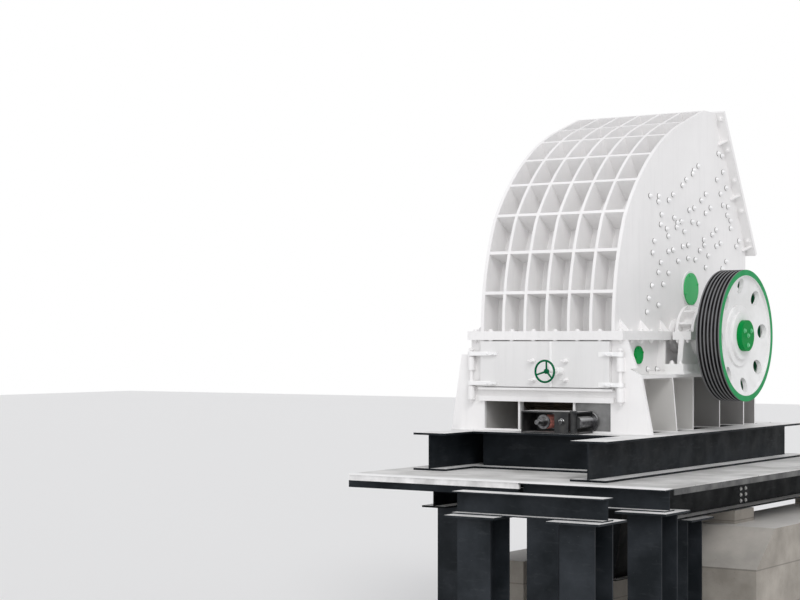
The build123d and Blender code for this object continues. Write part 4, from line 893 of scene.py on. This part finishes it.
for spoke_angle in (math.radians(80), math.radians(200), math.radians(320)):
    outwards = Vector((math.cos(spoke_angle), math.sin(spoke_angle), 0))
    spoke_start = outwards * 0.012 + Vector((0, 0, (hub_front + hub_back) / 2))
    spoke_run = outwards * (wheel_radius - 0.004) - spoke_start
    spoke = new_cylinder("spoke", 0.0115, 0, spoke_run.length, 12)
    select_faces(spoke, looking_up)
    bpy.ops.transform.resize(value=(0.78, 0.78, 1), center_override=(0, 0, spoke_run.length))
    bpy.ops.object.mode_set(mode="OBJECT")
    spoke.matrix_world = turned_to(spoke_start, spoke_run)
    wheel_parts.append(spoke)
hub = new_cylinder("hub", 0.027, hub_back, hub_front - 0.006, 32)
stepped(hub, (0.004, 0.004), (0.004, 0.002))
spindle = new_cylinder("spindle", 0.016, spindle_end, hub_back, 28)
select_faces(spindle, lambda centre, normal: normal.z < -0.9)
bpy.ops.mesh.inset(thickness=0.002, depth=0.002)
bpy.ops.object.mode_set(mode="OBJECT")
collar = new_cylinder("collar", 0.024, collar_back, collar_front, 28)
stepped(collar, (0.003, 0.003))
wheel_piece = joined("handwheel_on_spindle", wheel_parts + [hub, spindle, collar])
wheel_piece.rotation_euler = (math.radians(90), 0, 0)
wheel_piece.location = wheel_place
bpy.ops.object.transform_apply()
bpy.ops.object.shade_smooth_by_angle(angle=math.radians(40))
painted(wheel_piece, wheel_green)
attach(wheel_piece, "handwheel")
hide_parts("handwheel")
nut_place = (wheel_place[0], wheel_place[1] - hub_front, wheel_place[2])
copied("handwheel_nut", nut_end("hub_nut", 0.015), [(nut_place, (0, -1, 0))], wheel_green, "handwheel")

# Caps on the hinge pins: a round head on top of each and a nut under the lower barrel.
hinge_reach = 0.92
hinge_y = -0.452
pin_top = 3.480
pin_foot = 2.936
hinge_columns = (casing_middle - hinge_reach, casing_middle + hinge_reach)
hinge_heads = [((x, hinge_y, pin_top), (0, 0, 1)) for x in hinge_columns]
hinge_nuts = [((x, hinge_y, pin_foot), (0, 0, -1)) for x in hinge_columns]
copied("hinge_pin_heads", round_bolt("hinge_head", 0.026), hinge_heads, casing_white, "base")
copied("hinge_pin_nuts", nut_end("hinge_nut", 0.022), hinge_nuts, casing_white, "base")

# Straps welded over the hinge lugs of the door leaves: flat bars with their edges ground round and
# the inner end drawn narrower, two screws through each, in the nuts' brighter white, a painted highlight.
strap_front = -0.500
strap_back = -0.461
strap_height = 0.044
for side_name, strap_inner, strap_outer in (("left", -1.117, -1.455), ("right", 0.201, 0.385)):
    straps = []
    inwards = math.copysign(1, strap_inner - strap_outer)
    for strap_middle in (3.440, 3.117):
        bpy.ops.object.select_all(action="DESELECT")
        strap_place = ((strap_inner + strap_outer) / 2, (strap_front + strap_back) / 2, strap_middle)
        bpy.ops.mesh.primitive_cube_add(size=1, location=strap_place)
        strap = bpy.context.object
        strap.scale = (abs(strap_inner - strap_outer), strap_back - strap_front, strap_height)
        bpy.ops.object.transform_apply()
        select_faces(strap, lambda centre, normal: normal.x * inwards > 0.9)
        drawn_about = (strap_inner, strap_back, strap_middle)
        bpy.ops.transform.resize(value=(1, 0.8, 0.66), center_override=drawn_about)
        bpy.ops.object.mode_set(mode="OBJECT")
        rounding = strap.modifiers.new("rounding", "BEVEL")
        rounding.width = 0.003
        rounding.segments = 2
        bpy.ops.object.modifier_apply(modifier="rounding")
        straps.append(strap)
        for inset in (0.035, 0.105):
            screw = round_bolt("strap_screw", 0.010)
            screw.rotation_euler = (math.radians(90), 0, 0)
            screw.location = (strap_inner - inwards * inset, strap_front + 0.004, strap_middle)
            bpy.ops.object.transform_apply()
            straps.append(screw)
    strap_piece = joined("door_straps_" + side_name, straps)
    painted(strap_piece, nut_highlight_white)
    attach(strap_piece, "door_" + side_name)

# Coil spring of the grate adjuster: round red wire wound on the tie rod between the bracket's
# back plate and the washer, its two ends cut square.
spring_low = -0.660
spring_high = -0.435
wire_radius = 0.0145
coil_radius = 0.0590
coil_turns = 6
# The pale pink given as its dust colour lightens the wire's top faces, a painted highlight.
spring_red = enamel("spring_red", (0.98, 0.36, 0.30), (1.0, 0.70, 0.66))
bpy.ops.object.select_all(action="DESELECT")
bpy.ops.mesh.primitive_circle_add(
    vertices=12,
    radius=wire_radius,
    location=(coil_radius, 0, wire_radius),
    rotation=(math.radians(90), 0, 0),
)
spring = bpy.context.object
spring.name = "adjuster_coil"
bpy.ops.object.transform_apply()
winding = spring.modifiers.new("winding", "SCREW")
winding.axis = "Z"
winding.angle = math.radians(360)
winding.iterations = coil_turns
winding.screw_offset = (spring_high - spring_low - 2 * wire_radius) / coil_turns
winding.steps = 28
winding.render_steps = 28
winding.use_merge_vertices = True
bpy.ops.object.modifier_apply(modifier="winding")
bpy.ops.object.mode_set(mode="EDIT")
bpy.ops.mesh.select_all(action="SELECT")
bpy.ops.mesh.fill_holes(sides=0)
bpy.ops.mesh.select_all(action="SELECT")
bpy.ops.mesh.normals_make_consistent(inside=False)
bpy.ops.object.mode_set(mode="OBJECT")
spring.rotation_euler = (math.radians(-90), 0, 0)
spring.location = (rod_place[0], spring_low, rod_place[1])
bpy.ops.object.transform_apply()
bpy.ops.object.shade_smooth_by_angle(angle=math.radians(40))
painted(spring, spring_red)
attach(spring, "base")
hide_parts("adjuster_spring")

# Bolt through the adjuster's front cheek, of bare dark steel, painted white on its upper faces, a painted
# highlight.
cheek_spot = (-0.158, -0.740, 2.725)
cheek_steel, tree, shader, _ = new_material("cheek_steel", (0.10, 0.10, 0.10), 0.3, 0.8)
cheek_top_highlight = facing_up(tree, 0.1, 0.5)
coat(tree, shader, coloured(tree, cheek_top_highlight, (0.07, 0.07, 0.072), (0.95, 0.95, 0.95)))
copied("adjuster_cheek_bolt", bolt_head("cheek_bolt", 0.027), [(cheek_spot, (0, -1, 0))], cheek_steel, "base")

# Thin dark grey sheet over the right bay of the lower opening, cut to the bay, with its edges
# ground round: painted shade for the shadow deep in the bay.
bay_shade_steel, tree, shader, spot = new_material("bay_shade_steel", (0.25, 0.25, 0.25), 0.5, 0.3)
bay_shade_clouds = levels(tree, noise(tree, spot, 5.0, 6.0), 0.35, 0.7)
coat(tree, shader, coloured(tree, bay_shade_clouds, (0.16, 0.16, 0.16), (0.30, 0.30, 0.30)))
bumped(tree, shader, noise(tree, spot, 60.0, 3.0), 0.2, 0.001)
bpy.ops.object.select_all(action="DESELECT")
bay_middle = (0.031, -0.3765, 2.770)
bay_size = (0.426, 0.003, 0.298)
bpy.ops.mesh.primitive_cube_add(size=1, location=bay_middle)
bay_shade_sheet = bpy.context.object
bay_shade_sheet.name = "bay_shade_sheet"
bay_shade_sheet.scale = bay_size
bpy.ops.object.transform_apply()
rounding = bay_shade_sheet.modifiers.new("rounding", "BEVEL")
rounding.width = 0.0012
rounding.segments = 2
bpy.ops.object.modifier_apply(modifier="rounding")
painted(bay_shade_sheet, bay_shade_steel)
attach(bay_shade_sheet, "base")

# Bright bolts of the girders' web splices, in two columns of four on both faces of each web.
bolt_steel, tree, shader, spot = new_material("bolt_steel", (0.62, 0.62, 0.60), 0.45, 0.4)
bolt_clouds = levels(tree, noise(tree, spot, 40.0), 0.3, 0.7)
coat(tree, shader, coloured(tree, bolt_clouds, (0.62, 0.62, 0.61), (0.90, 0.90, 0.88)))
girder_half_web = 0.006
splice_spots = [(y, z) for y in (0.87, 1.00) for z in (1.845, 1.910, 1.975, 2.040)]
for side_name, girder_x in (("left", -1.48), ("right", 1.16)):
    splice_places = [
        ((girder_x + face * girder_half_web, y, z), (face, 0, 0)) for face in (-1, 1) for y, z in splice_spots
    ]
    copied("splice_bolts_" + side_name, bolt_head("splice_bolt", 0.0155), splice_places, bolt_steel, "base")

# Anchor bolts at the corners of every column's base plate, with washers, nuts and bare ends.
base_plate_top = 0.025
anchor_half = 0.215
columns = ((0.5, -3.385), (1.565, -3.385), (0.475, -2.08), (1.568, -2.08), (-1.48, -0.655), (1.16, -0.655))
anchor_places = [
    ((x + across * anchor_half, y + along * anchor_half, base_plate_top), (0, 0, 1))
    for x, y in columns
    for across in (-1, 1)
    for along in (-1, 1)
]
copied("anchor_nuts", nut_end("anchor_nut", 0.021), anchor_places, bolt_steel, "base")

# Fillet welds where the pedestals' gussets and the casing's sides stand on the base beams, laid
# by hand and painted with the casing.
beam_top = 2.600
bead_leg = 0.008
casing_front = -0.400
side_weld_end = 2.98


def weld_bead(start, end):
    """Bead with rounded ends between two points, given by X and Y, on top of the base beams."""
    start, end = Vector((*start, beam_top)), Vector((*end, beam_top))
    bead = new_cylinder("bead", bead_leg, 0, (end - start).length, 8)
    rounded_ends(bead, 0.45 * bead_leg, 0.4 * bead_leg)
    bead.matrix_world = turned_to(start, end - start)
    return bead


gusset_spots = (0.745, 1.262, 1.961, 2.631, 2.955)
taper_end = 1.262
shelf_reach = 0.307
beads = []
for wall_x, outwards, foot_reach in ((wall_right, 1, 0.436), (wall_left, -1, 0.380)):
    beads.append(weld_bead((wall_x, casing_front + 0.01), (wall_x, side_weld_end)))
    for spot in (0, *gusset_spots):
        taper = min(spot / taper_end, 1)
        reach = foot_reach + taper * (shelf_reach - foot_reach)
        bead_y = casing_front + spot
        beads.append(weld_bead((wall_x, bead_y), (wall_x + outwards * reach, bead_y)))
beads_piece = joined("foot_welds", beads)
painted(beads_piece, casing_white)
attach(beads_piece, "base")
